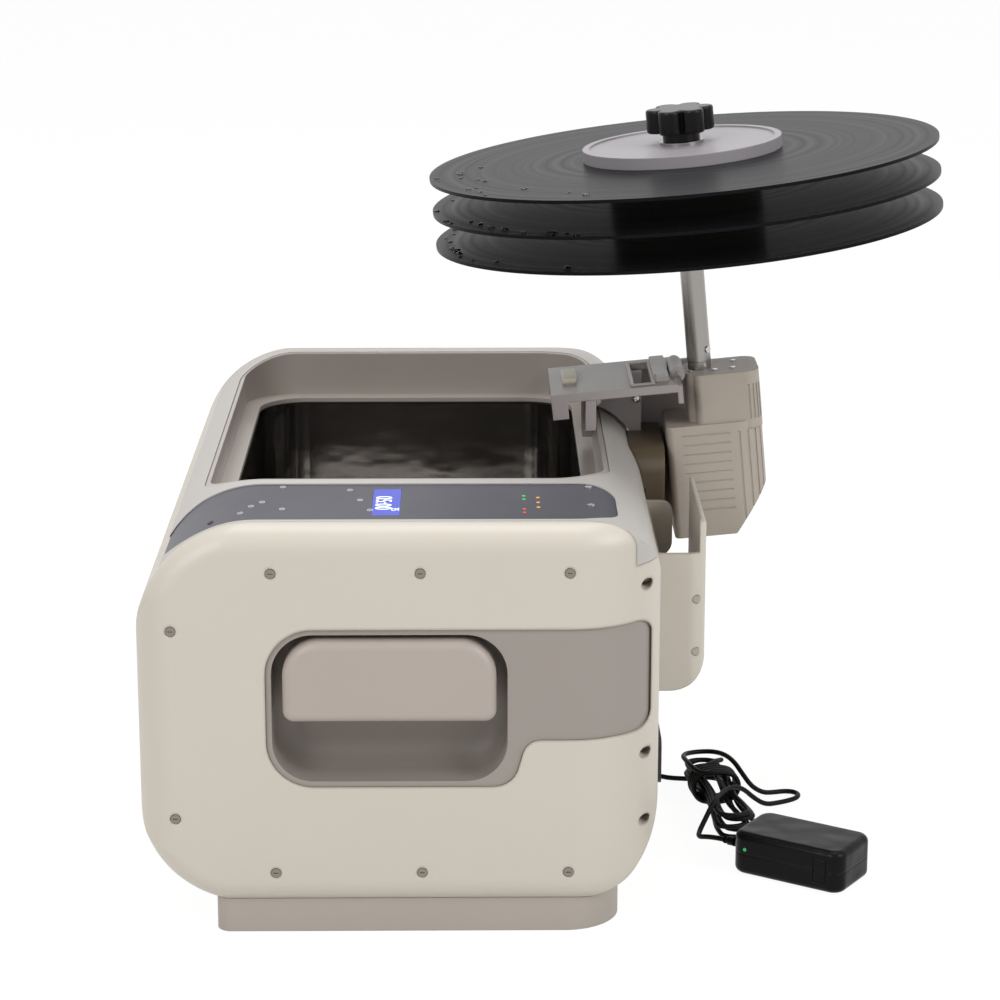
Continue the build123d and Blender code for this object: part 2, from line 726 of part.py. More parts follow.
def strip_screw_places():
    middle = PANEL_END + STRIP_END_MARGIN + STRIP_WIDTH / 2 + 9
    x = REAR - STRIP_SCREW_INSET
    return [(x, middle - STRIP_SCREW_PITCH / 2), (x, middle + STRIP_SCREW_PITCH / 2)]


def panel_post_places():
    middle = PANEL_END + STRIP_END_MARGIN + STRIP_WIDTH / 2
    half_x = PANEL_BOARD_WIDTH / 2 - 6
    half_y = PANEL_BOARD_DEPTH / 2 - 6
    return [
        (PANEL_BOARD_X + side_x * half_x, middle + side_y * half_y)
        for side_x in (-1, 1)
        for side_y in (-1, 1)
    ]


def make_control_strip():
    strip = strip_form(0, STRIP_SINK, STRIP_SINK + STRIP_DEPTH)
    strip -= display_block(SEAM / 2, 1.0)
    for x, y in strip_screw_places():
        strip -= rod_z(x, y, BODY_TOP - 5, BODY_TOP + 1, 1.2 + RUNNING)
    return strip


def display_block(grow, above):
    y = PANEL_END + STRIP_END_MARGIN + STRIP_WIDTH / 2
    top = BODY_TOP - STRIP_SINK
    points = rectangle(
        DISPLAY_X - DISPLAY_WIDTH / 2 - grow,
        DISPLAY_X + DISPLAY_WIDTH / 2 + grow,
        y - DISPLAY_LENGTH / 2 - grow,
        y + DISPLAY_LENGTH / 2 + grow,
    )
    return along_z(points, 1, top - DISPLAY_DEPTH, top + above)


def make_strip_screws():
    base = BODY_TOP - STRIP_SINK
    screws = []
    for x, y in strip_screw_places():
        head = rod_z(x, y, base, base + 1, STRIP_SCREW_R)
        screws.append(head + rod_z(x, y, base - 8, base, 1.2))
    return group(screws)


def make_control_board():
    """Board under the strip, with the display module and a connector."""
    middle = PANEL_END + STRIP_END_MARGIN + STRIP_WIDTH / 2
    low = PANEL_BOARD_TOP - BOARD
    x0 = PANEL_BOARD_X - PANEL_BOARD_WIDTH / 2
    y0 = middle - PANEL_BOARD_DEPTH / 2
    points = rectangle(x0, x0 + PANEL_BOARD_WIDTH, y0, y0 + PANEL_BOARD_DEPTH)
    board = along_z(points, 3, low, PANEL_BOARD_TOP)
    reach = DISPLAY_LENGTH / 2 - 8
    board += block(DISPLAY_X - 7, DISPLAY_X + 7, middle - reach, middle + reach, low, BODY_TOP - 5)
    board += block(x0 + 25, x0 + 40, middle - 10, middle + 10, low - 8, low)
    return board


def make_surround():
    """Well lining with the ledge that covers the tank's lip."""
    outer = well(-SLIP, LEDGE_Z - SURROUND_WALL, BODY_TOP + 5) & housing(0.4)
    outer -= well(-SLIP - SURROUND_WALL, LEDGE_Z, BODY_TOP + 6)
    return outer - tank_room(0, 0, BODY_TOP)


def make_gasket():
    ring = tank_room(TANK_LIP_WIDTH - 1, LIP_TOP, LIP_TOP + GASKET)
    return ring - tank_room(1.5, 0, BODY_TOP)


def make_tank():
    """Deep-drawn tank with a flat lip."""
    outer = tank_room(TANK_SHEET, TANK_FLOOR - TANK_SHEET, LIP_TOP)
    outer = fillet(outer.faces().sort_by(Axis.Z)[0].edges(), TANK_FLOOR_R + TANK_SHEET)
    lip = tank_room(TANK_LIP_WIDTH, LIP_TOP - TANK_SHEET, LIP_TOP)
    inner = tank_room(0, TANK_FLOOR, LIP_TOP + 1)
    inner = fillet(inner.faces().sort_by(Axis.Z)[0].edges(), TANK_FLOOR_R)
    return outer + lip - inner


def make_transducers():
    """Bolt-clamped transducers bonded under the tank floor, in a grid."""
    under = TANK_FLOOR - TANK_SHEET
    mass_low = BODY_UNDERSIDE + WALL + DUCER_CLEARANCE
    ducers = []
    for row in range(DUCER_ROWS):
        for column in range(DUCER_COLUMNS):
            x = WELL_X + DUCER_PITCH_X * (column - (DUCER_COLUMNS - 1) / 2)
            y = WELL_Y + DUCER_PITCH_Y * (row - (DUCER_ROWS - 1) / 2)
            plate = rod_z(x, y, under - DUCER_PLATE, under, DUCER_R)
            mass = rod_z(x, y, mass_low, under - DUCER_PLATE, DUCER_MASS_R)
            ducers.append(plate + mass)
    return group(ducers)


def make_heaters():
    """Two heating mats on the tank's long walls."""
    mats = []
    reach_x = (WELL_X1 - WELL_X0) / 2 - LEDGE_WIDTH + TANK_SHEET
    half = (WELL_Y1 - WELL_Y0) / 2 - LEDGE_WIDTH - TANK_CORNER_R - 10
    low = TANK_FLOOR + TANK_FLOOR_R + 4
    for side in (-1, 1):
        x0, x1 = sorted((WELL_X + side * reach_x, WELL_X + side * (reach_x + HEATER)))
        mat = rectangle(WELL_Y - half, WELL_Y + half, low, low + HEATER_WIDTH)
        mats.append(along_x(mat, 4, x0, x1))
    return group(mats)


def make_pedestal():
    """Plinth that cups the housing's rounded underside, with seats for its pads."""
    plan = rectangle(
        FRONT + PEDESTAL_FRONT_INSET,
        REAR - PEDESTAL_REAR_INSET,
        PANEL_END + PEDESTAL_END_INSET,
        PLAIN_END - PEDESTAL_END_INSET,
    )
    rear_r = PEDESTAL_CORNER_R
    plinth = along_z(plan, (8, rear_r, rear_r, 8), 0, BODY_UNDERSIDE + PEDESTAL_RISE)
    plinth -= housing(-FACE_GAP)
    for x, y in pad_places():
        plinth -= rod_z(x, y, -1, PAD_DEPTH, PAD_R + FACE_GAP)
    return plinth


def pad_places():
    x0 = FRONT + PEDESTAL_FRONT_INSET + 2 * PAD_R
    x1 = REAR - PEDESTAL_REAR_INSET - 2 * PAD_R
    y = BODY_LENGTH / 2 - PEDESTAL_END_INSET - 3 * PAD_R
    return [(x0, -y), (x1, -y), (x1, y), (x0, y)]


def make_pads():
    return group([rod_z(x, y, 0, PAD_DEPTH, PAD_R) for x, y in pad_places()])


def pocket_form(shrink, y0, y1):
    points = rectangle(
        POCKET_FRONT_X + POCKET_RIM + shrink,
        POCKET_REAR_X - POCKET_RIM - shrink,
        POCKET_BOTTOM_Z + POCKET_RIM + shrink,
        POCKET_TOP_Z - POCKET_RIM - shrink,
    )
    return along_y(points, POCKET_CORNER_R - POCKET_RIM - shrink, y0, y1)


def make_handle_trim():
    """Taupe trim: a hand pocket with a band that runs round the rear corner."""
    skin = housing(TRIM_SINK) - housing(TRIM_SINK + TRIM_SKIN)
    trim = skin & trim_room(0, -SHELL_HALF)
    face = PANEL_END + TRIM_SINK
    back = PANEL_END + POCKET_DEPTH
    tub = pocket_form(-POCKET_WALL, face + TRIM_SKIN / 2, back)
    return trim + tub - pocket_hollow()


def pocket_hollow():
    """Room inside the hand pocket, with its rounded back edge."""
    hollow = pocket_form(0, PANEL_END - 5, PANEL_END + POCKET_DEPTH - POCKET_WALL)
    back_edges = hollow.faces().sort_by(Axis.Y)[-1].edges()
    return fillet(back_edges, POCKET_FLOOR_R)


def make_grip():
    """Domed grip across the top of the pocket, on a root that meets the pocket's back."""
    x = (POCKET_FRONT_X + POCKET_REAR_X) / 2
    top = POCKET_TOP_Z - POCKET_RIM - GRIP_GAP
    low = top - GRIP_HEIGHT
    y0 = PANEL_END - GRIP_PROUD
    points = rectangle(x - GRIP_WIDTH / 2, x + GRIP_WIDTH / 2, low, top)
    grip = along_y(points, (6, 6, 20, 20), y0, y0 + GRIP_THICK)
    grip = fillet(grip.faces().sort_by(Axis.Y)[0].edges(), GRIP_DOME_R)
    root = block(
        x - GRIP_WIDTH / 2 + 20,
        x + GRIP_WIDTH / 2 - 20,
        y0 + GRIP_THICK / 2,
        PANEL_END + POCKET_DEPTH - POCKET_WALL,
        top - GRIP_ROOT,
        top - 1,
    )
    return grip + (root & pocket_hollow())


def make_fan_frame():
    x1 = REAR - WALL
    x0 = x1 - FAN_DEPTH
    half = FAN_SIZE / 2
    frame = along_x(rectangle(FAN_Y - half, FAN_Y + half, FAN_Z - half, FAN_Z + half), 4, x0, x1)
    frame -= rod_x(x0 - 1, x1 + 1, FAN_Y, FAN_Z, FAN_BORE_R)
    frame += rod_x(x0, x0 + FAN_CUP, FAN_Y, FAN_Z, FAN_HUB_R)
    for turn in range(45, 360, 90):
        arm = Pos(x0 + FAN_CUP / 4, 0, (FAN_BORE_R + 1) / 2) * Box(FAN_CUP / 2, 3, FAN_BORE_R + 1)
        frame += Pos(0, FAN_Y, FAN_Z) * Rot(turn, 0, 0) * arm
    frame += rod_x(x0, x1 - 4, FAN_Y, FAN_Z, FAN_PIN_R)
    return frame


def make_fan_impeller():
    x1 = REAR - WALL
    start = x1 - FAN_DEPTH + FAN_CUP + SLIP
    end = x1 - 3
    wheel = rod_x(start, end, FAN_Y, FAN_Z, FAN_HUB_R)
    blade_length = FAN_BORE_R - FAN_HUB_R - 0.5
    for count in range(FAN_BLADES):
        blade = Rot(0, 0, 40) * Box(1.2, 11, blade_length)
        blade = Pos((start + end) / 2, 0, FAN_HUB_R - 1 + blade_length / 2) * blade
        wheel += Pos(0, FAN_Y, FAN_Z) * Rot(360 / FAN_BLADES * count, 0, 0) * blade
    return wheel - rod_x(start - 1, x1 - 4 + SLIP, FAN_Y, FAN_Z, FAN_PIN_R + RUNNING)


def make_inlet():
    """Mains inlet: a flanged socket with three blades in its recess."""

    def face(width, height):
        return rectangle(
            INLET_Y - width / 2, INLET_Y + width / 2, INLET_Z - height / 2, INLET_Z + height / 2
        )

    inlet = along_x(face(INLET_WIDTH, INLET_HEIGHT), 5, REAR, REAR + INLET_LIP)
    inlet += along_x(face(INLET_BODY_WIDTH, INLET_BODY_HEIGHT), 1.5, REAR - INLET_DEPTH, REAR + 1)
    recess = face(INLET_BODY_WIDTH - 5, INLET_BODY_HEIGHT - 5)
    inlet -= along_x(recess, (1, 1, 4, 4), REAR - INLET_DEPTH + 6, REAR + INLET_LIP + 1)
    for y_step, z_step in ((-7, -2), (0, 3), (7, -2)):
        y = INLET_Y + y_step
        z = INLET_Z + z_step
        inlet += block(REAR - INLET_DEPTH + 5, REAR - 5, y - 0.9, y + 0.9, z - 2, z + 2)
    return inlet


def make_main_board():
    """Ultrasonic generator board with its transformer, heat sink and capacitors."""
    x0 = MAIN_BOARD_X - MAIN_BOARD_WIDTH / 2
    y0 = MAIN_BOARD_Y - MAIN_BOARD_DEPTH / 2
    top = BOARD_Z + BOARD
    points = rectangle(x0, x0 + MAIN_BOARD_WIDTH, y0, y0 + MAIN_BOARD_DEPTH)
    board = along_z(points, 2, BOARD_Z, top)
    seat = top - PART_SINK
    y = MAIN_BOARD_Y
    x = x0 + TRANSFORMER_START
    half = TRANSFORMER_HALF
    board += block(x, x + TRANSFORMER_LENGTH, y - half, y + half, seat, top + TRANSFORMER_HEIGHT)
    x = x0 + COOLER_START
    board += block(x, x + COOLER_LENGTH, y - COOLER_BACK, y, seat, top + COOLER_HEIGHT)
    fin_y1 = y - COOLER_BACK + 1
    for fin in range(COOLER_FINS):
        x = x0 + COOLER_START + fin * COOLER_FIN_PITCH
        board += block(x, x + COOLER_FIN, y - COOLER_FIN_DEPTH, fin_y1, seat, top + COOLER_HEIGHT)
    for step in range(2):
        x = x0 + CAPACITOR_START + CAPACITOR_PITCH * step
        board += rod_z(x, y + COOLER_BACK, seat, top + CAPACITOR_HEIGHT, CAPACITOR_R)
    return board


def make_holder():
    """Open holder on the rear wall: a near wall, a rounded floor and a taller outer fin."""
    x0 = REAR + FACE_GAP
    x1 = REAR + HOLDER_OUT
    y0 = HOLDER_NEAR_Y
    y1 = HOLDER_NEAR_Y + HOLDER_LENGTH
    top = HOLDER_TOP_Z + HOLDER_FIN_RISE
    low = HOLDER_BOTTOM_Z
    wall = HOLDER_WALL
    form = along_z(rectangle(x0, x1, y0, y1), (1, HOLDER_CORNER_R, 4, 1), low, top)
    form &= along_y(rectangle(x0, x1, low, top), (2, HOLDER_BOTTOM_R, 3, 2), y0, y1)
    plan = rectangle(x0 + wall, x1 - wall, y0 + wall, y1 + 20)
    side = rectangle(x0 + wall, x1 - wall, low + wall, top + 20)
    hollow = along_z(plan, (1, HOLDER_CORNER_R - wall, 1, 1), low, top + 20)
    hollow &= along_y(side, (2, HOLDER_BOTTOM_R - wall, 2, 2), y0, y1 + 20)
    form -= hollow
    form -= block(x0 - 1, x1 - wall - 1, y0 - 1, y1 + 1, HOLDER_TOP_Z, top + 1)
    tab_top = HOLDER_TOP_Z + HOLDER_TAB_RISE
    tab = rectangle(x0, REAR + HOLDER_TAB_OUT, HOLDER_TOP_Z - HOLDER_TAB_DROP, tab_top)
    form += along_y(tab, (1, 9, 7, 1), y1 - wall, y1)
    for z in holder_screw_heights():
        form -= rod_y(x1 - HOLDER_SCREW_INSET, y0 - 1, y0 + 2.5, z, HOLDER_SCREW_R + SLIP)
    return form


def holder_screw_heights():
    third = (HOLDER_TOP_Z - HOLDER_BOTTOM_Z) / 3
    return (HOLDER_BOTTOM_Z + third - 4, HOLDER_BOTTOM_Z + 2 * third)


def make_holder_screws():
    x = REAR + HOLDER_OUT - HOLDER_SCREW_INSET
    y = HOLDER_NEAR_Y + 2.5
    return group([rod_y(x, y - 1.6, y, z, HOLDER_SCREW_R) for z in holder_screw_heights()])


# ---------------------------------------------------------------- saddle on the rear rim
def above_plate(z):
    """Space above a height in the rack's own frame, for trimming upright pieces."""
    return RACK * block(-200, 200, -200, 200, z, 200)


def make_saddle():
    """Bracket over the rear rim: plate, walls, inner leg, hinge knuckles, window and slots."""
    half = SADDLE_HALF
    sheet = SADDLE_SHEET
    front = SADDLE_FRONT_X
    rear = SADDLE_REAR_X
    plate_rear = HINGE_X - KNUCKLE_GAP
    plate = block(front, rear, -half, half, -SADDLE_PLATE, 0)
    reach = CASE_KNUCKLE / 2 + KNUCKLE_GAP + SADDLE_KNUCKLE
    plate -= block(plate_rear, rear + 1, -reach - KNUCKLE_GAP, reach + KNUCKLE_GAP, -4, 1)
    plate += block(front, rear, -half, -half + SADDLE_PLATE, -SADDLE_NEAR_FLANGE, 0)
    plate += block(front, front + sheet, -half, half, -SADDLE_END_WALL, 0)
    plate += block(front, front + SADDLE_TAB, -half, -half + sheet, -SADDLE_END_WALL, 0)
    start = SADDLE_REAR_WALL_START
    for y0, y1 in ((-half, -start), (start, half)):
        plate += block(rear - sheet, rear, y0, y1, -SADDLE_REAR_WALL, 0)
    near = CASE_KNUCKLE / 2 + KNUCKLE_GAP
    for y0, y1 in ((-reach, -near), (near, reach)):
        plate += rod_y(HINGE_X, y0, y1, HINGE_Z, KNUCKLE_R)
    notch = HINGE_X - KNUCKLE_R - KNUCKLE_GAP
    plate -= block(notch, rear + 1, -near, near, -6, 6)
    plate -= rod_y(HINGE_X, -half, half, HINGE_Z, HINGE_PIN_R + RUNNING)
    lug = rectangle(
        LUG_X - LUG_WIDTH / 2, LUG_X + LUG_WIDTH / 2, LUG_NEAR_Y, LUG_NEAR_Y + LUG_LENGTH
    )
    plate += along_z(lug, 2, -1, LUG_HEIGHT)
    window = rectangle(
        WINDOW_X - WINDOW_WIDTH / 2, WINDOW_X + WINDOW_WIDTH / 2, WINDOW_NEAR_Y, WINDOW_FAR_Y
    )
    plate -= along_z(window, 2, -SADDLE_PLATE - 1, 1)
    slot = rectangle(
        BUTTON_X - BUTTON_TRAVEL - SLIP, BUTTON_X + BUTTON_STEM + SLIP, -SLIP, BUTTON_STEM_LENGTH + SLIP
    )
    plate -= along_z(slot, 0.2, -SADDLE_PLATE - 1, 1)
    inner_x1 = INNER_LEG_X + INNER_LEG_THICK
    wall_y1 = SHAFT_Y + half
    wall_x0 = SHAFT_X + front + 1
    wall_x1 = SHAFT_X + rear + FAR_WALL_REACH
    low = INNER_LEG_LOWER_Z
    high = SADDLE_CEILING
    frame = block(wall_x0, wall_x1, FAR_WALL_Y, wall_y1, FAR_WALL_BOTTOM_Z, high)
    frame += block(INNER_LEG_X, wall_x1, FAR_WALL_Y, wall_y1, low, high)
    foot_x0 = REAR + LEG_OFF
    frame += block(foot_x0, wall_x1, FAR_WALL_Y, wall_y1, LEG_TOP_Z - FAR_WALL_FOOT, low + 1)
    rim = housing(-RIM_PAD) & block(inner_x1, REAR + 20, 0, wall_y1 + 20, 0, high)
    frame -= rim
    frame += block(INNER_LEG_X, inner_x1, INNER_LEG_NEAR_Y, wall_y1, INNER_LEG_UPPER_Z, high)
    frame += block(INNER_LEG_X, inner_x1, INNER_LEG_STEP_Y, wall_y1, low, high)
    screw_y1 = INNER_LEG_STEP_Y + SADDLE_SHEET
    partition_x1 = REAR + LEG_OFF - FACE_GAP
    partition = block(inner_x1 - 1, partition_x1, INNER_LEG_STEP_Y, screw_y1, low, high)
    frame += partition - rim
    for x, z in saddle_screw_places():
        frame -= rod_y(x, INNER_LEG_STEP_Y - 1, screw_y1 + 1, z, SADDLE_SCREW_R / 2 + RUNNING)
    return RACK * plate + (frame - above_plate(-SADDLE_PLATE / 2))


def saddle_screw_places():
    return [(REAR + x, BODY_TOP + z) for x, z in SADDLE_SCREW_PLACES]


def make_outer_leg():
    """Dark leg outside the wall, with a flange beyond the motor case and the jack's seat."""
    x0 = REAR + LEG_OFF
    x1 = x0 + LEG_THICK
    y1 = FAR_WALL_Y - FACE_GAP
    leg = block(REAR - LEG_OVERLAP, x1, LEG_NEAR_Y, y1, LEG_BOTTOM_Z, LEG_TOP_Z)
    near_edge = leg.edges().filter_by(Axis.X).group_by(Axis.Y)[0].sort_by(Axis.Z)[-1]
    leg = fillet(near_edge, LEG_SHOULDER_R)
    leg -= housing(-SOFT_GAP)
    leg -= block(0, x0, LEG_NEAR_Y - 1, y1 + 1, LEG_BOTTOM_Z - 1, BODY_TOP - REAR_TOP_R)
    leg -= block(0, x0, INNER_LEG_STEP_Y - FACE_GAP, y1 + 1, LEG_BOTTOM_Z, LEG_TOP_Z + 1)
    flange_y0 = SHAFT_Y + CASE_HALF + LEG_FLANGE_CLEARANCE
    flange_x1 = REAR + LEG_FLANGE_REACH
    flange_z0 = LEG_BOTTOM_Z - LEG_FLANGE_FOOT_DROP
    flange_z1 = LEG_TOP_Z - LEG_FLANGE_TOP_DROP
    leg += block(x1 - 1, flange_x1, flange_y0, y1, flange_z0, flange_z1)
    leg -= rod_z(JACK_X, JACK_Y, LEG_BOTTOM_Z - 1, LEG_BOTTOM_Z + JACK_LENGTH, JACK_R + RUNNING)
    return leg


def make_saddle_screws():
    """Cross-head screws in the saddle's partition, seen from the near side."""
    screws = []
    y0 = INNER_LEG_STEP_Y
    for x, z in saddle_screw_places():
        head = rod_y(x, y0 - SADDLE_SCREW_HEAD, y0, z, SADDLE_SCREW_R)
        screws.append(head + rod_y(x, y0, y0 + SADDLE_SHEET, z, SADDLE_SCREW_R / 2))
    return group(screws)


def make_rim_pads():
    """Rubber between the saddle and the rim, and behind the outer leg."""
    over = housing(-RIM_PAD + FACE_GAP) - housing(-SOFT_GAP)
    x0 = WELL_X1 + 1
    low = INNER_LEG_LOWER_Z + 1
    over &= block(x0, REAR + 20, FAR_WALL_Y, SHAFT_Y + SADDLE_HALF, low, SADDLE_CEILING)
    y0 = LEG_NEAR_Y + 4
    y1 = FAR_WALL_Y - FACE_GAP - 4
    low = LEG_BOTTOM_Z + LEG_PAD_RISE
    pad = block(REAR + SOFT_GAP, REAR + LEG_OFF - FACE_GAP, y0, y1, low, low + LEG_PAD_HEIGHT)
    return group([over, pad])


def make_hinge_pin():
    reach = CASE_KNUCKLE / 2 + KNUCKLE_GAP + SADDLE_KNUCKLE
    return RACK * rod_y(HINGE_X, -reach, reach, HINGE_Z, HINGE_PIN_R)


def make_lock_slider():
    """Release slide on the saddle: a strip with a finger bump, a stem and a retaining foot."""
    x0 = BUTTON_X - BUTTON_WIDTH / 2
    x1 = BUTTON_X + BUTTON_WIDTH / 2
    y0 = BUTTON_NEAR_Y
    strip = along_z(rectangle(x0, x1, y0, y0 + BUTTON_LENGTH), 2, RUNNING, BUTTON_THICK)
    bump = rectangle(x0 + 0.5, x1 - 0.5, y0 + 1, y0 + 9)
    strip += along_z(bump, 2, BUTTON_THICK - 0.5, BUTTON_THICK + BUTTON_BUMP)
    foot_top = -SADDLE_PLATE - RUNNING
    strip += block(BUTTON_X, BUTTON_X + BUTTON_STEM, 0, BUTTON_STEM_LENGTH, foot_top - 1, 1)
    foot_y0 = -BUTTON_STEM_LENGTH / 2
    strip += block(x0 + 1, x1 - 1, foot_y0, BUTTON_STEM_LENGTH, foot_top - BUTTON_FOOT, foot_top)
    return RACK * strip


def make_jack():
    """Supply socket in the leg's lower end."""
    top = LEG_BOTTOM_Z + JACK_LENGTH
    jack = rod_z(JACK_X, JACK_Y, LEG_BOTTOM_Z, top, JACK_R)
    jack -= rod_z(JACK_X, JACK_Y, LEG_BOTTOM_Z - 1, top - 2, JACK_BORE_R)
    return jack + rod_z(JACK_X, JACK_Y, LEG_BOTTOM_Z + 2, top - 1, JACK_PIN_R)


def make_plug():
    """Barrel plug hanging from the jack, with its strain relief."""
    top = LEG_BOTTOM_Z - FACE_GAP
    low = top - PLUG_BODY
    plug = rod_z(JACK_X, JACK_Y, low, top, PLUG_R)
    plug += rod_z(JACK_X, JACK_Y, top, top + PLUG_TIP, PLUG_TIP_R)
    plug -= rod_z(JACK_X, JACK_Y, top - 2, top + PLUG_TIP + 1, JACK_PIN_R + RUNNING)
    return plug + rod_z(JACK_X, JACK_Y, low - PLUG_GRIP, low, PLUG_GRIP_R)


# ---------------------------------------------------------------- motor case
def case_form(inset):
    """Motor case's outer form moved inwards: stepped front, rounded rear, chamfered foot."""
    slope = hypot(CASE_CHAMFER_REACH, CASE_CHAMFER_HEIGHT)
    foot_shift = inset * (slope - CASE_CHAMFER_REACH) / CASE_CHAMFER_HEIGHT
    side_shift = inset * (slope - CASE_CHAMFER_HEIGHT) / CASE_CHAMFER_REACH
    x0 = CASE_FRONT_X + inset
    x1 = CASE_REAR_X - inset
    low = -CASE_HEIGHT + inset
    half = CASE_HALF - inset
    points = [
        (x0, low),
        (CASE_REAR_X - CASE_CHAMFER_REACH - foot_shift, low),
        (x1, -CASE_HEIGHT + CASE_CHAMFER_HEIGHT + side_shift),
        (x1, -CASE_STEP_DROP - inset),
        (x0, -CASE_STEP_DROP - inset),
    ]
    lower = along_y(points, 1, -half, half)
    corner = CASE_LOWER_R - inset
    edge = CASE_EDGE_R - inset
    lower &= along_z(rectangle(x0, x1, -half, half), (edge, corner, corner, edge), -CASE_HEIGHT - 5, 0)
    half = CASE_UPPER_HALF - inset
    corner = CASE_CORNER_R - inset
    upper_points = rectangle(CASE_UPPER_FRONT_X + inset, x1, -half, half)
    upper = along_z(upper_points, (edge, corner, corner, edge), -CASE_STEP_DROP - 5, -inset)
    half = CASE_NECK_HALF - inset
    neck_points = rectangle(CASE_NECK_FRONT_X + inset, CASE_UPPER_FRONT_X + 5, -half, half)
    return lower + upper + along_z(neck_points, (edge, 0, 0, edge), -CASE_STEP_DROP - 5, -inset)


def corner_grooves(half, corner_r, z0, z1):
    """Upright grooves round the case's two rear corners."""
    grooves = []
    for side in (-1, 1):
        centre = Pos(CASE_REAR_X - corner_r, side * (half - corner_r), 0)
        for count in range(RIB_GROOVES):
            turn = side * 90 * (count + 0.5) / RIB_GROOVES
            inner = corner_r - RIB_GROOVE_DEPTH
            half_width = RIB_GROOVE_WIDTH / 2
            groove = block(inner, corner_r + 2, -half_width, half_width, z0, z1)
            grooves.append(centre * Rot(0, 0, turn) * groove)
    return grooves


def make_case():
    """Whole motor case, before it is parted into its near and far shells."""
    hollow = case_form(CASE_WALL) - block(-50, 50, -50, 50, -CASE_TOP_WALL, 5)
    case = case_form(0) - hollow
    plate = rectangle(TOP_PLATE_FRONT_X, TOP_PLATE_REAR_X, -TOP_PLATE_HALF, TOP_PLATE_HALF)
    case -= along_z(plate, TOP_PLATE_R, -TOP_PLATE, 1)
    case -= rod_z(0, 0, -CASE_TOP_WALL - 1, 1, BUSH_R + RUNNING)
    for x, y in TOP_SCREW_PLACES:
        case -= rod_z(x, y, -CASE_TOP_WALL - 1, 0, TOP_SCREW_SHANK_R + RUNNING)
    band = case_form(-1) - case_form(GROOVE)
    for count in range(GROOVE_COUNT):
        z = -CASE_STEP_DROP - GROOVE_PITCH * (count + 1)
        case -= band & block(GROOVE_START_X, GROOVE_END_X, -50, 50, z - GROOVE_WIDTH, z)
    low = -CASE_HEIGHT + RIB_GROOVE_FOOT_RISE
    case -= corner_grooves(CASE_HALF, CASE_LOWER_R, low, -CASE_STEP_DROP - GROOVE_PITCH)
    case -= corner_grooves(CASE_UPPER_HALF, CASE_CORNER_R, -CASE_STEP_DROP + 1, -RIB_GROOVE_TOP_DROP)
    half = CASE_KNUCKLE / 2
    case += rod_y(HINGE_X, -half, half, HINGE_Z, KNUCKLE_R)
    case += block(HINGE_X, CASE_NECK_FRONT_X + 1, -half, half, HINGE_Z - KNUCKLE_R, 0)
    return case - rod_y(HINGE_X, -half - 1, half + 1, HINGE_Z, HINGE_PIN_R + RUNNING)


def case_half(case, side):
    """One shell of the case: -1 for the near shell and 1 for the far shell."""
    y0, y1 = sorted((side * CASE_SPLIT / 2, side * 60))
    return RACK * (case & block(-60, 60, y0, y1, -120, 20))


def make_top_plate():
    points = rectangle(
        TOP_PLATE_FRONT_X + FACE_GAP,
        TOP_PLATE_REAR_X - FACE_GAP,
        -TOP_PLATE_HALF + FACE_GAP,
        TOP_PLATE_HALF - FACE_GAP,
    )
    plate = along_z(points, TOP_PLATE_R - FACE_GAP, -TOP_PLATE, 0)
    plate -= rod_z(0, 0, -TOP_PLATE - 1, 1, BUSH_R + RUNNING)
    for x, y in TOP_SCREW_PLACES:
        plate -= rod_z(x, y, -TOP_PLATE - 1, 1, TOP_SCREW_SHANK_R + RUNNING)
    return RACK * plate


def make_case_screws():
    screws = []
    for x, y in TOP_SCREW_PLACES:
        head = rod_z(x, y, 0, TOP_SCREW_HEAD, TOP_SCREW_R)
        screws.append(RACK * (head + rod_z(x, y, -CASE_TOP_WALL, 0, TOP_SCREW_SHANK_R)))
    return group(screws)


def make_gearmotor():
    """Gearbox under the case's top wall, with its motor hanging below."""
    top = -CASE_TOP_WALL
    low = top - GEARBOX_HEIGHT
    motor = block(GEARBOX_FRONT_X, GEARBOX_REAR_X, -GEARBOX_HALF, GEARBOX_HALF, low, top)
    motor += rod_z(MOTOR_X, 0, low - MOTOR_LENGTH, low, MOTOR_R)
    motor += rod_z(MOTOR_X, 0, low - MOTOR_LENGTH - 3, low - MOTOR_LENGTH, MOTOR_R / 3)
    motor -= rod_z(0, 0, -DRIVE_DEPTH - 1, top + 1, DRIVE_R + RUNNING)
    return RACK * motor


def make_bush():
    bush = rod_z(0, 0, -BUSH_DEPTH, BUSH_RISE, BUSH_R)
    return RACK * (bush - rod_z(0, 0, -BUSH_DEPTH - 1, BUSH_RISE + 1, DRIVE_R + RUNNING))


# ---------------------------------------------------------------- spindle, records and clamp
def set_screw_rod(start, end, radius):
    rod = Pos((start + end) / 2, 0, SET_SCREW_Z) * Rot(0, 90, 0) * Cylinder(radius, end - start)
    return Rot(0, 0, SET_SCREW_TURN) * rod


def make_tube():
    """Spindle tube with its threaded stud, bored for the drive shaft."""
    foot = BUSH_RISE + KNUCKLE_GAP
    shoulder = LOWEST_RECORD - BACKING
    tube = rod_z(0, 0, foot, shoulder, TUBE_R) + rod_z(0, 0, shoulder, STUD_TOP, STUD_R)
    tube -= rod_z(0, 0, foot - 1, DRIVE_RISE + KNUCKLE_GAP, DRIVE_R + RUNNING)
    return RACK * (tube - set_screw_rod(0, TUBE_R + 1, SET_SCREW_R + RUNNING))


def make_drive():
    return RACK * rod_z(0, 0, -DRIVE_DEPTH, DRIVE_RISE, DRIVE_R)


def make_set_screw():
    return RACK * set_screw_rod(DRIVE_R + RUNNING, TUBE_R + SET_SCREW_PROUD, SET_SCREW_R)


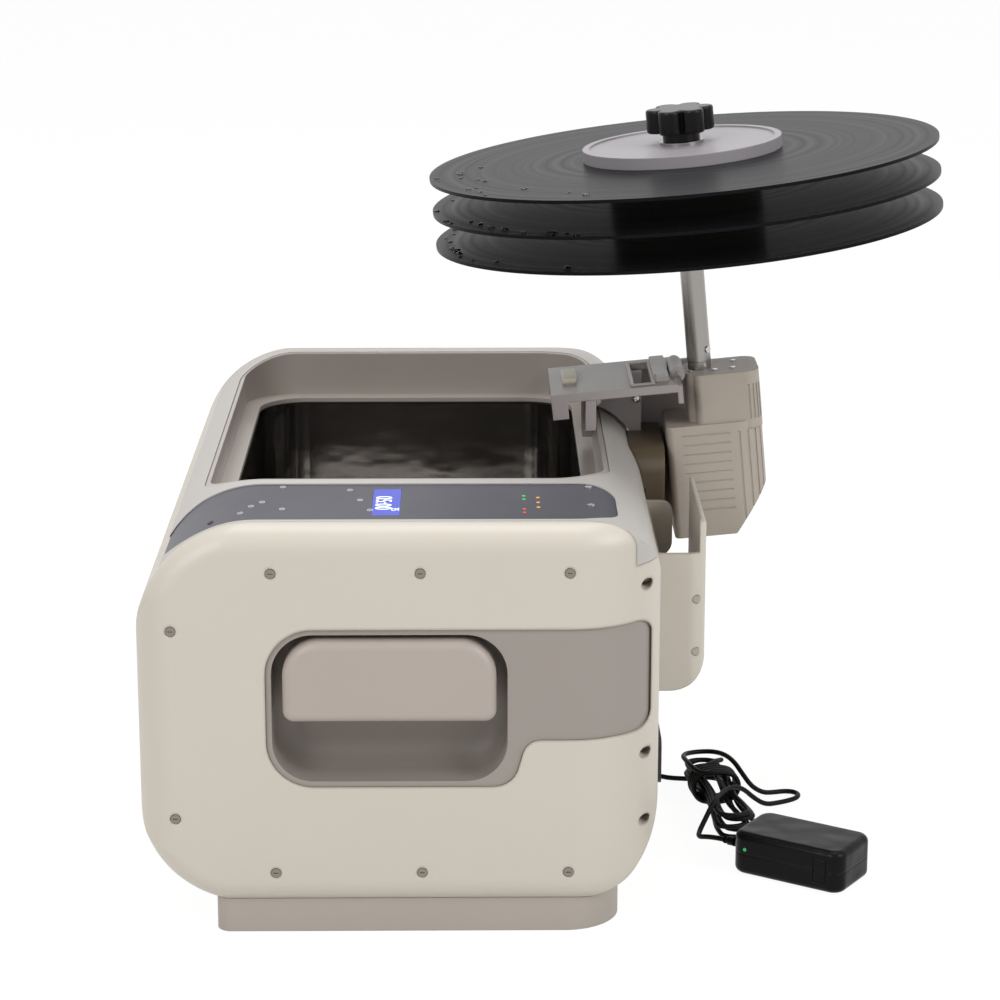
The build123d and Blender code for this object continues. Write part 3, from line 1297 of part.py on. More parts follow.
def disc(radius, z0, z1):
    """Flat disc on the spindle, with a hole that runs on the stud."""
    hole = rod_z(0, 0, z0 - 1, z1 + 1, STUD_R + RUNNING)
    return rod_z(0, 0, z0, z1, radius) - hole


def record_z(count):
    return LOWEST_RECORD + RECORD_PITCH * count


def make_record(count):
    return RACK * disc(RECORD_R, record_z(count), record_z(count) + RECORD)


def make_spacers():
    spacers = []
    for count in range(RECORD_COUNT - 1):
        spacers.append(RACK * disc(SPACER_R, record_z(count) + RECORD, record_z(count + 1)))
    return group(spacers)


def make_backing():
    return RACK * disc(BACKING_R, LOWEST_RECORD - BACKING, LOWEST_RECORD)


def make_clamp_disc():
    """Clamp disc with a low rim round its dished outer face."""
    clamp = disc(CLAMP_R, TOP_DISC_Z, TOP_DISC_Z + CLAMP)
    dish_z = TOP_DISC_Z + CLAMP - CLAMP_DISH
    return RACK * (clamp - rod_z(0, 0, dish_z, dish_z + CLAMP, CLAMP_R - CLAMP_RIM))


def make_washer():
    return RACK * disc(WASHER_R, WASHER_Z, KNOB_Z)


def make_knob():
    """Star knob: six lobes on a neck, with a blind bore for the stud."""
    head_z = KNOB_Z + KNOB_NECK
    centre_r = KNOB_R - KNOB_LOBE_R
    head = rod_z(0, 0, head_z, head_z + KNOB_HEAD, centre_r)
    for count in range(KNOB_LOBES):
        lobe = rod_z(centre_r, 0, head_z, head_z + KNOB_HEAD, KNOB_LOBE_R)
        head += Rot(0, 0, 360 / KNOB_LOBES * count) * lobe
    rims = head.faces().filter_by(Axis.Z).edges()
    head = fillet(rims, KNOB_EDGE_R)
    knob = head + rod_z(0, 0, KNOB_Z, head_z + 1, KNOB_NECK_R)
    return RACK * (knob - rod_z(0, 0, KNOB_Z - 1, KNOB_Z + KNOB_BORE_DEPTH, STUD_R + RUNNING))


# ---------------------------------------------------------------- supply cord and adapter
def cord_radii(route):
    """Largest arcs that the runs of a cord's route allow, one for each inner point."""
    radii = []
    for start, middle, end in zip(route, route[1:], route[2:]):
        first = Vector(*middle) - Vector(*start)
        second = Vector(*end) - Vector(*middle)
        half_turn = radians(first.get_angle(second)) / 2
        radii.append(RUN_SHARE * min(first.length, second.length) / tan(half_turn))
    return radii


def cord_tube(route):
    """Tube along straight runs joined by tangent arcs."""
    radii = cord_radii(route)
    path = FilletPolyline(*route, radius=radii)
    section = Plane(origin=path @ 0, z_dir=path % 0) * Circle(CORD_R)
    tube = sweep(section, path=path)
    print("cord radii", [round(radius, 1) for radius in radii])
    share = tube.volume / (pi * CORD_R**2 * path.length)
    print("cord tube", round(path.length), "mm, volume share", round(share, 4))
    return tube


def make_hank():
    """Closed outer shape of the bundled cord, with one low stray loop beside it."""
    points = rectangle(-HANK_WIDTH / 2, HANK_WIDTH / 2, -HANK_LENGTH / 2, HANK_LENGTH / 2)
    bar = along_z(points, HANK_END_R, 0, HANK_HEIGHT)
    bar = fillet(bar.faces().sort_by(Axis.Z)[-1].edges(), HANK_EDGE_R)
    bar = Pos(HANK_X, HANK_Y, 0) * Rot(0, 0, HANK_TURN) * bar
    half = LOOP_LENGTH / 2
    points = rectangle(-half, half, -LOOP_WIDTH / 2, LOOP_WIDTH / 2)
    loop = along_z(points, LOOP_WIDTH / 2 - 2, 0, LOOP_HEIGHT)
    return bar + Pos(LOOP_X, LOOP_Y, 0) * Rot(0, 0, LOOP_TURN) * loop


def adapter_form(z0, z1):
    """Adapter's rounded box between two heights, at the floor and unturned."""
    half_x = ADAPTER_LENGTH / 2
    half_y = ADAPTER_WIDTH / 2
    form = along_z(rectangle(-half_x, half_x, -half_y, half_y), ADAPTER_CORNER_R, 0, ADAPTER_HEIGHT)
    ends = form.faces().filter_by(Axis.Z).edges()
    return fillet(ends, ADAPTER_EDGE_R) & block(-half_x, half_x, -half_y, half_y, z0, z1)


ADAPTER = Pos(ADAPTER_X, ADAPTER_Y, 0) * Rot(0, 0, ADAPTER_TURN)


def make_adapter_base():
    """Adapter's lower shell, with the strain relief that its lead leaves by."""
    base = adapter_form(0, ADAPTER_HEIGHT / 2)
    end = -ADAPTER_LENGTH / 2
    base -= adapter_room()
    low = ADAPTER_HEIGHT / 2 - RELIEF_R
    relief = rod_x(end - RELIEF_LENGTH, end + 3, 0, low, RELIEF_R)
    return ADAPTER * (base + relief)


def adapter_room():
    """Space inside the adapter."""
    half_x = ADAPTER_LENGTH / 2 - ADAPTER_WALL
    half_y = ADAPTER_WIDTH / 2 - ADAPTER_WALL
    points = rectangle(-half_x, half_x, -half_y, half_y)
    return along_z(points, ADAPTER_CORNER_R - ADAPTER_WALL, ADAPTER_WALL, ADAPTER_HEIGHT - ADAPTER_WALL)


def make_adapter_cover():
    cover = adapter_form(ADAPTER_HEIGHT / 2 + ADAPTER_SEAM, ADAPTER_HEIGHT + 1)
    return ADAPTER * (cover - adapter_room())


def make_prongs():
    """Two mains prongs on the adapter's far side."""
    prongs = []
    wall_y = ADAPTER_WIDTH / 2
    for side in (-1, 1):
        x = side * PRONG_PITCH / 2
        x0 = x - PRONG_THICK / 2
        z1 = ADAPTER_HEIGHT / 2
        y1 = wall_y + PRONG_LENGTH
        prong = block(x0, x0 + PRONG_THICK, wall_y, y1, z1 - PRONG_WIDTH, z1)
        prongs.append(ADAPTER * prong)
    return group(prongs)


# ---------------------------------------------------------------- sub-parts, one file each
os.makedirs("parts", exist_ok=True)

keep("pedestal", make_pedestal())
keep("pedestal_pads", make_pads())
keep("body_shell", make_shell())
end_pieces = {
    "end_cap": make_end_cap(),
    "end_screws": make_cap_screws(),
    "end_frame": make_end_frame(),
    "handle_trim": make_handle_trim(),
    "grip": make_grip(),
}
for piece, shape in end_pieces.items():
    keep("panel_" + piece, shape)
    keep("plain_" + piece, mirror_end(shape))
keep("top_frame", make_top_frame())
keep("well_surround", make_surround())
keep("tank_gasket", make_gasket())
keep("steel_tank", make_tank())
keep("transducers", make_transducers())
keep("heater_mats", make_heaters())
keep("control_strip", make_control_strip())
keep("display_window", display_block(0, 0))
keep("control_board", make_control_board())
keep("strip_screws", make_strip_screws())
keep("generator_board", make_main_board())
keep("fan_frame", make_fan_frame())
keep("fan_impeller", make_fan_impeller())
keep("mains_inlet", make_inlet())
keep("rear_holder", make_holder())
keep("holder_screws", make_holder_screws())
keep("saddle_bracket", make_saddle())
keep("outer_leg", make_outer_leg())
keep("saddle_screws", make_saddle_screws())
keep("rim_pads", make_rim_pads())
keep("hinge_pin", make_hinge_pin())
keep("lock_slider", make_lock_slider())
motor_case = make_case()
keep("motor_case_near", case_half(motor_case, -1))
keep("motor_case_far", case_half(motor_case, 1))
keep("motor_top_plate", make_top_plate())
keep("motor_case_screws", make_case_screws())
keep("gearmotor", make_gearmotor())
keep("shaft_bush", make_bush())
keep("drive_shaft", make_drive())
keep("spindle_tube", make_tube())
keep("set_screw", make_set_screw())
keep("backing_disc", make_backing())
keep("record_spacers", make_spacers())
for count, level in enumerate(("lower", "middle", "upper")):
    keep("record_" + level, make_record(count))
keep("clamp_disc", make_clamp_disc())
keep("clamp_washer", make_washer())
keep("clamp_knob", make_knob())
keep("dc_jack", make_jack())
keep("dc_plug", make_plug())
keep("supply_cord", cord_tube((SUPPLY_START, *SUPPLY_BENDS)))
keep("cord_hank", make_hank())
keep("adapter_lead", cord_tube(ADAPTER_ROUTE))
keep("adapter_base", make_adapter_base())
keep("adapter_cover", make_adapter_cover())
keep("adapter_prongs", make_prongs())
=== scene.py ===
import bpy
from math import atan2, cos, exp, pi, radians, sin, sqrt
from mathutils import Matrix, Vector
from random import Random


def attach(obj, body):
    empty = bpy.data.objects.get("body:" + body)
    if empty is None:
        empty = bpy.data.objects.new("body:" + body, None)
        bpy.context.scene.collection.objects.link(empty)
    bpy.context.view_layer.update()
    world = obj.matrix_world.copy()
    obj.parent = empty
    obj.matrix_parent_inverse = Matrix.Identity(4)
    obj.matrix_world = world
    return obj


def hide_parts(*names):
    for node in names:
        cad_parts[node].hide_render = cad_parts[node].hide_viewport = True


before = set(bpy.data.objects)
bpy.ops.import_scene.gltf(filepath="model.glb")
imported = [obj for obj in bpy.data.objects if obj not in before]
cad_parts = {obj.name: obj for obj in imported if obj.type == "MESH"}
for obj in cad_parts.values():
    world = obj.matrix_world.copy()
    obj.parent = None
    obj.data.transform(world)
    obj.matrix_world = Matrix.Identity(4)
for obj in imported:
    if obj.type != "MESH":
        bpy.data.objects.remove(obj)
bpy.ops.object.select_all(action="DESELECT")
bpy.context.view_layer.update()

# ---------------------------------------------------------------- camera
# A long lens on a stand in front of the panel end, a little above the top of the machine.
camera_data = bpy.data.cameras.new("stand_camera")
camera_data.lens = 108.0
camera_data.sensor_width = 36.0
camera_data.clip_end = 50.0
camera = bpy.data.objects.new("stand_camera", camera_data)
camera.location = (0.0388, -1.7325, 0.6457)
camera.rotation_euler = (radians(74.99), 0, radians(-0.54))
bpy.context.scene.collection.objects.link(camera)
bpy.context.scene.camera = camera

# ---------------------------------------------------------------- table and studio light
# A pale table top that runs out to a white surround, under two large soft lamps and a third
# above.  What the lens, metal and glass see of the surround is plain white.
WHITE_SEEN = 1.0
ROOM_LEVEL = 0.42
bpy.context.scene.view_settings.view_transform = "Standard"


def seen_rays(nodes, links):
    """1 for rays from the lens, from gloss and through glass, 0 for light on the object."""
    path = nodes.new("ShaderNodeLightPath")
    first = nodes.new("ShaderNodeMath")
    first.operation = "MAXIMUM"
    second = nodes.new("ShaderNodeMath")
    second.operation = "MAXIMUM"
    links.new(path.outputs["Is Camera Ray"], first.inputs[0])
    links.new(path.outputs["Is Glossy Ray"], first.inputs[1])
    links.new(first.outputs[0], second.inputs[0])
    links.new(path.outputs["Is Transmission Ray"], second.inputs[1])
    return second.outputs[0]


room = bpy.data.worlds.new("white_room")
bpy.context.scene.world = room
room.use_nodes = True
nodes, links = room.node_tree.nodes, room.node_tree.links
nodes.clear()
seen = nodes.new("ShaderNodeBackground")
seen.inputs["Color"].default_value = (1, 1, 1, 1)
seen.inputs["Strength"].default_value = WHITE_SEEN
light = nodes.new("ShaderNodeBackground")
light.inputs["Color"].default_value = (1.0, 0.985, 0.96, 1)
light.inputs["Strength"].default_value = ROOM_LEVEL
mix = nodes.new("ShaderNodeMixShader")
output = nodes.new("ShaderNodeOutputWorld")
links.new(seen_rays(nodes, links), mix.inputs[0])
links.new(light.outputs[0], mix.inputs[1])
links.new(seen.outputs[0], mix.inputs[2])
links.new(mix.outputs[0], output.inputs[0])

TABLE_SHADOW_SHARE = 0.12
TABLE_GLOW = 1.07
table_paint = bpy.data.materials.new("table_paint")
table_paint.use_nodes = True
nodes, links = table_paint.node_tree.nodes, table_paint.node_tree.links
nodes.clear()
matt = nodes.new("ShaderNodeBsdfDiffuse")
matt.inputs["Color"].default_value = (0.82, 0.82, 0.81, 1)
glow = nodes.new("ShaderNodeEmission")
glow.inputs["Strength"].default_value = TABLE_GLOW
share = nodes.new("ShaderNodeMath")
share.operation = "MULTIPLY"
share.inputs[1].default_value = 1 - TABLE_SHADOW_SHARE
mix = nodes.new("ShaderNodeMixShader")
output = nodes.new("ShaderNodeOutputMaterial")
links.new(seen_rays(nodes, links), share.inputs[0])
links.new(share.outputs[0], mix.inputs[0])
links.new(matt.outputs[0], mix.inputs[1])
links.new(glow.outputs[0], mix.inputs[2])
links.new(mix.outputs[0], output.inputs[0])

bpy.ops.mesh.primitive_plane_add(size=12, location=(0, 2, -0.0004))
table = bpy.context.active_object
table.name = "table_top"
table.data.materials.append(table_paint)

LAMPS = (
    ("left_softbox", (-1.5, -1.9, 1.7), (0.0, -0.1, 0.15), 1.3, 28.0),
    ("right_softbox", (1.9, -1.3, 1.5), (0.05, 0.0, 0.2), 1.1, 25.0),
    ("overhead_softbox", (0.0, 0.3, 2.1), (0.02, 0.0, 0.1), 1.4, 22.0),
)
for name, place, target, size, power in LAMPS:
    lamp = bpy.data.lights.new(name, "AREA")
    lamp.size = size
    lamp.energy = power
    holder = bpy.data.objects.new(name, lamp)
    holder.location = place
    holder.rotation_euler = (Vector(target) - Vector(place)).to_track_quat("-Z", "Y").to_euler()
    bpy.context.scene.collection.objects.link(holder)

# ---------------------------------------------------------------- supply cord
# Thin black lead from the plug under the leg to the adapter, with its spare length bundled
# loosely on the table.
CORD_WIDTH = 0.003

# The free stretch, from the plug down the rear wall and out to the bundle.
CORD_ROUTE = [
    (0.14775, 0.0560, 0.1322),
    (0.1474, 0.0560, 0.1092),
    (0.1464, 0.0555, 0.0837),
    (0.1454, 0.0545, 0.0537),
    (0.1452, 0.0510, 0.0267),
    (0.1462, 0.0400, 0.0032),
    (0.1485, 0.0090, 0.0017),
    (0.1780, 0.0040, 0.0018),
]

# The bundle: five long loops of different sizes, laid loosely on each other and seen end on.
BUNDLE_MIDDLE = Vector((0.186, -0.042, 0))
BUNDLE_TURN = radians(9)
LOOP_SIZES = (
    (0.0505, 0.0128, 0.0),
    (0.0475, 0.0106, 0.0036),
    (0.0495, 0.0108, -0.0036),
    (0.0460, 0.0104, 0.0020),
    (0.0480, 0.0106, -0.0014),
)
LAYER_LOW = 0.0017
LAYER_RISE = 0.0031
LOOP_STEPS = 24
CHANGE_START = 0.6
SIDE_STRAY = 0.0004
WAIST_PLACE = -0.004
WAIST_REACH = 0.026
WAIST_SHARE = 0.5
TIE_PLACE = 0.014
TIE_LIFT = 0.0033
TIE_LIFT_REACH = 0.015
TIE_TURNS = 4
TIE_STEPS = 16
TIE_PITCH = 0.0034
TIE_HALF_WIDTH = 0.0138
TIE_HALF_HEIGHT = 0.0097
TIE_MIDDLE_HEIGHT = 0.0114
TIE_START = 0.005
along = Vector((-sin(BUNDLE_TURN), cos(BUNDLE_TURN), 0))
across = Vector((cos(BUNDLE_TURN), sin(BUNDLE_TURN), 0))


def bundle_point(far, side, height):
    """A point of the bundle, from its distances along and across it and above the table."""
    return tuple(BUNDLE_MIDDLE + along * far + across * side + Vector((0, 0, height)))


def squared(value, push):
    """A wave's value with its crests pressed flat."""
    return max(-1, min(1, value * push))


def swelling(value, middle, reach):
    """1 at the middle, falling smoothly to 0 beyond its reach."""
    return exp(-(((value - middle) / reach) ** 2))


bundle = []
for turn, size in enumerate(LOOP_SIZES):
    last = turn == len(LOOP_SIZES) - 1
    following = size if last else LOOP_SIZES[turn + 1]
    for step in range(LOOP_STEPS + 4 * last):
        share = (step + 0.5) / LOOP_STEPS
        angle = 2 * pi * share
        change = max(0, min(1, (share - CHANGE_START) / (1 - CHANGE_START)))
        length, width, shift = [a + (b - a) * change for a, b in zip(size, following)]
        far = (length - width) * squared(cos(angle), 1.9) + width * cos(angle)
        waist = 1 - WAIST_SHARE * swelling(far, WAIST_PLACE, WAIST_REACH)
        stray = SIDE_STRAY * sin(turn * 1.7 + step)
        side = width * squared(sin(angle), 1.08) * waist + shift + stray
        layer = turn + (0 if last else change)
        lift = TIE_LIFT * swelling(far, TIE_PLACE, TIE_LIFT_REACH)
        bundle.append(bundle_point(far, side, LAYER_LOW + LAYER_RISE * layer + lift))

# The tie: the lead is wound four times round the loops, past their waist.
bundle.append(bundle_point(0.0350, 0.0108, 0.0184))
bundle.append(bundle_point(0.0265, 0.0050, 0.0208))
for step in range(TIE_TURNS * TIE_STEPS + 1):
    angle = radians(100) + 2 * pi * step / TIE_STEPS
    side = (TIE_HALF_WIDTH - TIE_HALF_HEIGHT) * squared(cos(angle), 3) + TIE_HALF_HEIGHT * cos(angle)
    height = TIE_MIDDLE_HEIGHT + TIE_HALF_HEIGHT * sin(angle)
    bundle.append(bundle_point(TIE_PLACE + TIE_START - TIE_PITCH * step / TIE_STEPS, side, height))

# One loop lies on top, leaning up to the right.  The lead then falls to the table, makes a
# low stray loop, climbs back over the bundle and droops to the adapter.
bundle += [
    bundle_point(0.0100, -0.0105, 0.0204),
    bundle_point(0.0190, -0.0134, 0.0218),
    bundle_point(0.0300, -0.0140, 0.0216),
    bundle_point(0.0420, -0.0128, 0.0194),
    bundle_point(0.0510, -0.0084, 0.0178),
    bundle_point(0.0545, 0.0006, 0.0172),
    bundle_point(0.0520, 0.0095, 0.0176),
    bundle_point(0.0430, 0.0142, 0.0184),
    bundle_point(0.0320, 0.0172, 0.0176),
]
STRAY_LOOP = [
    (0.2026, -0.0180, 0.0128),
    (0.2076, -0.0214, 0.0066),
    (0.2145, -0.0216, 0.0026),
    (0.2215, -0.0186, 0.0018),
    (0.2280, -0.0163, 0.0017),
    (0.2338, -0.0176, 0.0017),
    (0.2362, -0.0226, 0.0017),
    (0.2342, -0.0282, 0.0017),
    (0.2290, -0.0325, 0.0017),
    (0.2220, -0.0364, 0.0017),
    (0.2140, -0.0405, 0.0022),
    (0.2068, -0.0428, 0.0074),
    (0.2008, -0.0455, 0.0138),
    (0.1948, -0.0500, 0.0174),
    (0.1885, -0.0580, 0.0182),
    (0.1840, -0.0670, 0.0180),
    (0.1800, -0.0760, 0.0174),
    (0.1750, -0.0850, 0.0112),
    (0.1706, -0.0940, 0.0064),
    (0.1692, -0.1030, 0.0062),
    (0.1735, -0.1095, 0.0088),
    (0.1795, -0.1143, 0.0099),
    (0.1856, -0.1183, 0.0099),
]


def paint(red, green, blue):
    """A colour as it is matched, 0 to 255, made linear."""
    shades = [value / 255 for value in (red, green, blue)]
    return tuple(((s + 0.055) / 1.055) ** 2.4 if s > 0.04045 else s / 12.92 for s in shades) + (1,)


def effect(name, inputs, outputs):
    """An empty node group with named sockets, and its two end nodes."""
    tree = bpy.data.node_groups.new(name, "ShaderNodeTree")
    for label, kind, value in inputs:
        socket = tree.interface.new_socket(label, in_out="INPUT", socket_type="NodeSocket" + kind)
        socket.default_value = value
    for label, kind in outputs:
        tree.interface.new_socket(label, in_out="OUTPUT", socket_type="NodeSocket" + kind)
    return tree, tree.nodes.new("NodeGroupInput"), tree.nodes.new("NodeGroupOutput")


def moulded_skin():
    """Moulded surface: faint clouding, a fine spark-eroded grain, softened edges and a painted highlight
    along the edges.
    """
    inputs = (
        ("Colour", "Color", (0.5, 0.5, 0.5, 1)),
        ("Roughness", "Float", 0.45),
        ("Clouding", "Float", 0.06),
        ("Grain per metre", "Float", 1500.0),
        ("Grain depth", "Float", 0.15),
        ("Edge radius", "Float", 0.0006),
        ("Edge highlight", "Float", 0.12),
        ("Waves per metre", "Float", 40.0),
        ("Wave depth", "Float", 0.0),
    )
    outputs = (("Colour", "Color"), ("Roughness", "Float"), ("Normal", "Vector"))
    tree, given, out = effect("moulded_skin", inputs, outputs)
    new, link = tree.nodes.new, tree.links.new
    place = new("ShaderNodeTexCoord").outputs["Object"]
    cloud = new("ShaderNodeTexNoise")
    cloud.inputs["Scale"].default_value = 22
    cloud.inputs["Detail"].default_value = 4
    grain = new("ShaderNodeTexNoise")
    grain.inputs["Detail"].default_value = 2
    waves = new("ShaderNodeTexNoise")
    waves.inputs["Detail"].default_value = 1
    for noise in (cloud, grain, waves):
        link(place, noise.inputs["Vector"])
    link(given.outputs["Grain per metre"], grain.inputs["Scale"])
    link(given.outputs["Waves per metre"], waves.inputs["Scale"])
    soft = new("ShaderNodeBevel")
    soft.samples = 4
    link(given.outputs["Edge radius"], soft.inputs["Radius"])
    plain = new("ShaderNodeNewGeometry")
    dot = new("ShaderNodeVectorMath")
    dot.operation = "DOT_PRODUCT"
    link(soft.outputs[0], dot.inputs[0])
    link(plain.outputs["Normal"], dot.inputs[1])
    edge = new("ShaderNodeMapRange")
    edge.inputs["From Min"].default_value = 1.0
    edge.inputs["From Max"].default_value = 0.75
    link(dot.outputs["Value"], edge.inputs["Value"])
    # Painted highlight: the colour is lifted along edges, where the softened normal turns away from the
    # face.
    edge_highlight = new("ShaderNodeMath")
    edge_highlight.operation = "MULTIPLY"
    link(edge.outputs[0], edge_highlight.inputs[0])
    link(given.outputs["Edge highlight"], edge_highlight.inputs[1])
    swing = new("ShaderNodeMath")
    swing.operation = "MULTIPLY_ADD"
    link(cloud.outputs[0], swing.inputs[0])
    link(given.outputs["Clouding"], swing.inputs[1])
    swing.inputs[2].default_value = 1.0
    lift = new("ShaderNodeMath")
    lift.operation = "ADD"
    link(swing.outputs[0], lift.inputs[0])
    link(edge_highlight.outputs[0], lift.inputs[1])
    centre = new("ShaderNodeMath")
    centre.operation = "MULTIPLY_ADD"
    link(given.outputs["Clouding"], centre.inputs[0])
    centre.inputs[1].default_value = -0.5
    link(lift.outputs[0], centre.inputs[2])
    shade = new("ShaderNodeVectorMath")
    shade.operation = "SCALE"
    link(given.outputs["Colour"], shade.inputs[0])
    link(centre.outputs[0], shade.inputs["Scale"])
    link(shade.outputs[0], out.inputs["Colour"])
    dull = new("ShaderNodeMath")
    dull.operation = "MULTIPLY_ADD"
    link(cloud.outputs[0], dull.inputs[0])
    dull.inputs[1].default_value = 0.12
    link(given.outputs["Roughness"], dull.inputs[2])
    link(dull.outputs[0], out.inputs["Roughness"])
    bump = new("ShaderNodeBump")
    bump.inputs["Distance"].default_value = 0.0002
    link(given.outputs["Grain depth"], bump.inputs["Strength"])
    link(grain.outputs[0], bump.inputs["Height"])
    swell = new("ShaderNodeBump")
    swell.inputs["Distance"].default_value = 0.002
    link(given.outputs["Wave depth"], swell.inputs["Strength"])
    link(waves.outputs[0], swell.inputs["Height"])
    link(soft.outputs[0], swell.inputs["Normal"])
    link(swell.outputs[0], bump.inputs["Normal"])
    link(bump.outputs[0], out.inputs["Normal"])
    return tree


MOULDED_SKIN = moulded_skin()


# The edge highlight setting paints light along the edges.
def moulded(name, colour, gloss=0.42, cloud=0.06, grain=1500, depth=0.15, edge=0.0006, edge_highlight=0.12,
            shine=0.5, waves=40, wave_depth=0):
    """A material for one moulded or rubber finish."""
    material = bpy.data.materials.new(name)
    material.use_nodes = True
    nodes, links = material.node_tree.nodes, material.node_tree.links
    shader = nodes["Principled BSDF"]
    skin = nodes.new("ShaderNodeGroup")
    skin.node_tree = MOULDED_SKIN
    values = (colour, gloss, cloud, grain, depth, edge, edge_highlight, waves, wave_depth)
    shader.inputs["Specular IOR Level"].default_value = shine
    for socket, value in zip(skin.inputs, values):
        socket.default_value = value
    links.new(skin.outputs["Colour"], shader.inputs["Base Color"])
    links.new(skin.outputs["Roughness"], shader.inputs["Roughness"])
    links.new(skin.outputs["Normal"], shader.inputs["Normal"])
    return material


def dress(material, *names):
    """Gives CAD nodes their finish."""
    for name in names:
        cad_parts[name].material_slots[0].material = material


def join_pieces(name, parts):
    """Joins finished parts into one piece, with its place kept in its mesh."""
    bpy.ops.object.select_all(action="DESELECT")
    for part in parts:
        part.select_set(True)
    bpy.context.view_layer.objects.active = parts[0]
    if len(parts) > 1:
        bpy.ops.object.join()
    bpy.ops.object.transform_apply(location=True, rotation=True, scale=True)
    piece = bpy.context.active_object
    piece.name = name
    piece.select_set(False)
    return piece


def smooth_piece(piece, sharp=None):
    """Smooths a new piece's faces, all of them or those that meet below an angle."""
    bpy.context.view_layer.objects.active = piece
    piece.select_set(True)
    if sharp is None:
        bpy.ops.object.shade_smooth()
    else:
        bpy.ops.object.shade_smooth_by_angle(angle=sharp)
    piece.select_set(False)


def finish_piece(piece, material, body):
    """Gives a new piece its material and its body."""
    piece.data.materials.clear()
    piece.data.materials.append(material)
    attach(piece, body)


SHARP = radians(40)
cord_jacket = moulded("cord_jacket", paint(12, 11, 12), 0.40, 0.2, 2600, 0.2, 0.0001, 0.0, 0.12)
line = bpy.data.curves.new("supply_lead", "CURVE")
line.dimensions = "3D"
line.bevel_depth = CORD_WIDTH / 2
line.bevel_resolution = 4
line.resolution_u = 6
line.use_fill_caps = True
spline = line.splines.new("NURBS")
points = CORD_ROUTE + bundle + STRAY_LOOP
spline.points.add(len(points) - 1)
for point, place in zip(spline.points, points):
    point.co = (*place, 1)
spline.order_u = 3
spline.use_endpoint_u = True
line.materials.append(cord_jacket)
supply_lead = bpy.data.objects.new("supply_lead", line)
bpy.context.scene.collection.objects.link(supply_lead)
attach(supply_lead, "base")
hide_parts("supply_cord", "cord_hank", "adapter_lead")

# ---------------------------------------------------------------- plug and strain reliefs
# The barrel plug and the ribbed, tapered reliefs moulded on the lead where it leaves the
# plug and where it enters the adapter.
RIB_COUNT = 5
plug_skin = moulded("plug_skin", paint(14, 13, 14), 0.36, 0.1, 2200, 0.1, 0.0003, 0.1, 0.15)
dress(plug_skin, "dc_plug", "dc_jack")


def strain_relief(name, start, direction, length, wide, narrow):
    """A tapered sleeve with grooves round it, from its wide end along the lead."""
    parts = []
    pitch = length / RIB_COUNT
    for rib in range(RIB_COUNT):
        share = rib / (RIB_COUNT - 1)
        radius = wide + (narrow - wide) * share
        bpy.ops.mesh.primitive_cylinder_add(vertices=28, radius=radius, depth=pitch * 0.78)
        part = bpy.context.active_object
        bpy.ops.object.mode_set(mode="EDIT")
        bpy.ops.mesh.select_all(action="SELECT")
        bpy.ops.mesh.bevel(offset=pitch * 0.2, segments=2, affect="EDGES")
        bpy.ops.object.mode_set(mode="OBJECT")
        part.location = Vector((0, 0, pitch * (rib + 0.5)))
        parts.append(part)
    bpy.ops.mesh.primitive_cone_add(
        vertices=28, radius1=wide * 0.78, radius2=narrow * 0.86, depth=length * 0.98
    )
    core = bpy.context.active_object
    core.location = Vector((0, 0, length / 2))
    sleeve = join_pieces(name, parts + [core])
    sleeve.rotation_euler = Vector(direction).to_track_quat("Z", "Y").to_euler()
    sleeve.location = start
    sleeve = join_pieces(name, [sleeve])
    smooth_piece(sleeve, SHARP)
    finish_piece(sleeve, plug_skin, "base")
    return sleeve


plug_relief = strain_relief("plug_relief", (0.14775, 0.056, 0.1366), (0, 0, -1), 0.016, 0.0031, 0.0021)
adapter_relief = strain_relief(
    "adapter_relief", (0.1957, -0.1248, 0.0099), (-0.839, 0.545, 0), 0.0155, 0.0033, 0.0021
)

# ---------------------------------------------------------------- housing
# Cream moulded sleeve and end caps, with a paler rim piece round the well and a warm grey
# plinth.  All are injection moulded and fixed with recessed screws.
cream_moulding = moulded("cream_moulding", paint(199, 192, 181), 0.36, 0.03, 1800, 0.08, 0.0016, 0.06)
cap_moulding = moulded("cap_moulding", paint(199, 192, 181), 0.34, 0.03, 1800, 0.08, 0.0028, 0.05)
rim_moulding = moulded("rim_moulding", paint(182, 178, 174), 0.36, 0.03, 1800, 0.08, 0.0008, 0.08)
lining_moulding = moulded("lining_moulding", paint(166, 158, 151), 0.26, 0.05, 1800, 0.05, 0.0010, 0.14)
plinth_moulding = moulded("plinth_moulding", paint(170, 162, 154), 0.50, 0.05, 1600, 0.18, 0.0007, 0.08)
dress(cream_moulding, "body_shell")
dress(cap_moulding, "panel_end_cap", "plain_end_cap")
dress(rim_moulding, "top_frame")
dress(lining_moulding, "well_surround")
dress(plinth_moulding, "pedestal")
foot_rubber = moulded("foot_rubber", paint(38, 37, 36), 0.75, 0.1, 900, 0.3, 0.0004, 0.0)
dress(foot_rubber, "pedestal_pads", "tank_gasket")

# ---------------------------------------------------------------- end grips
# A taupe pocket and band let into each end cap, a little below the cap's face, with a domed
# grip across the pocket.
trim_moulding = moulded("trim_moulding", paint(150, 142, 136), 0.42, 0.05, 1700, 0.14, 0.0006, 0.10)
grip_moulding = moulded("grip_moulding", paint(171, 161, 154), 0.38, 0.05, 1700, 0.14, 0.0008, 0.12)
dress(trim_moulding, "panel_handle_trim", "plain_handle_trim")
dress(grip_moulding, "panel_grip", "plain_grip")
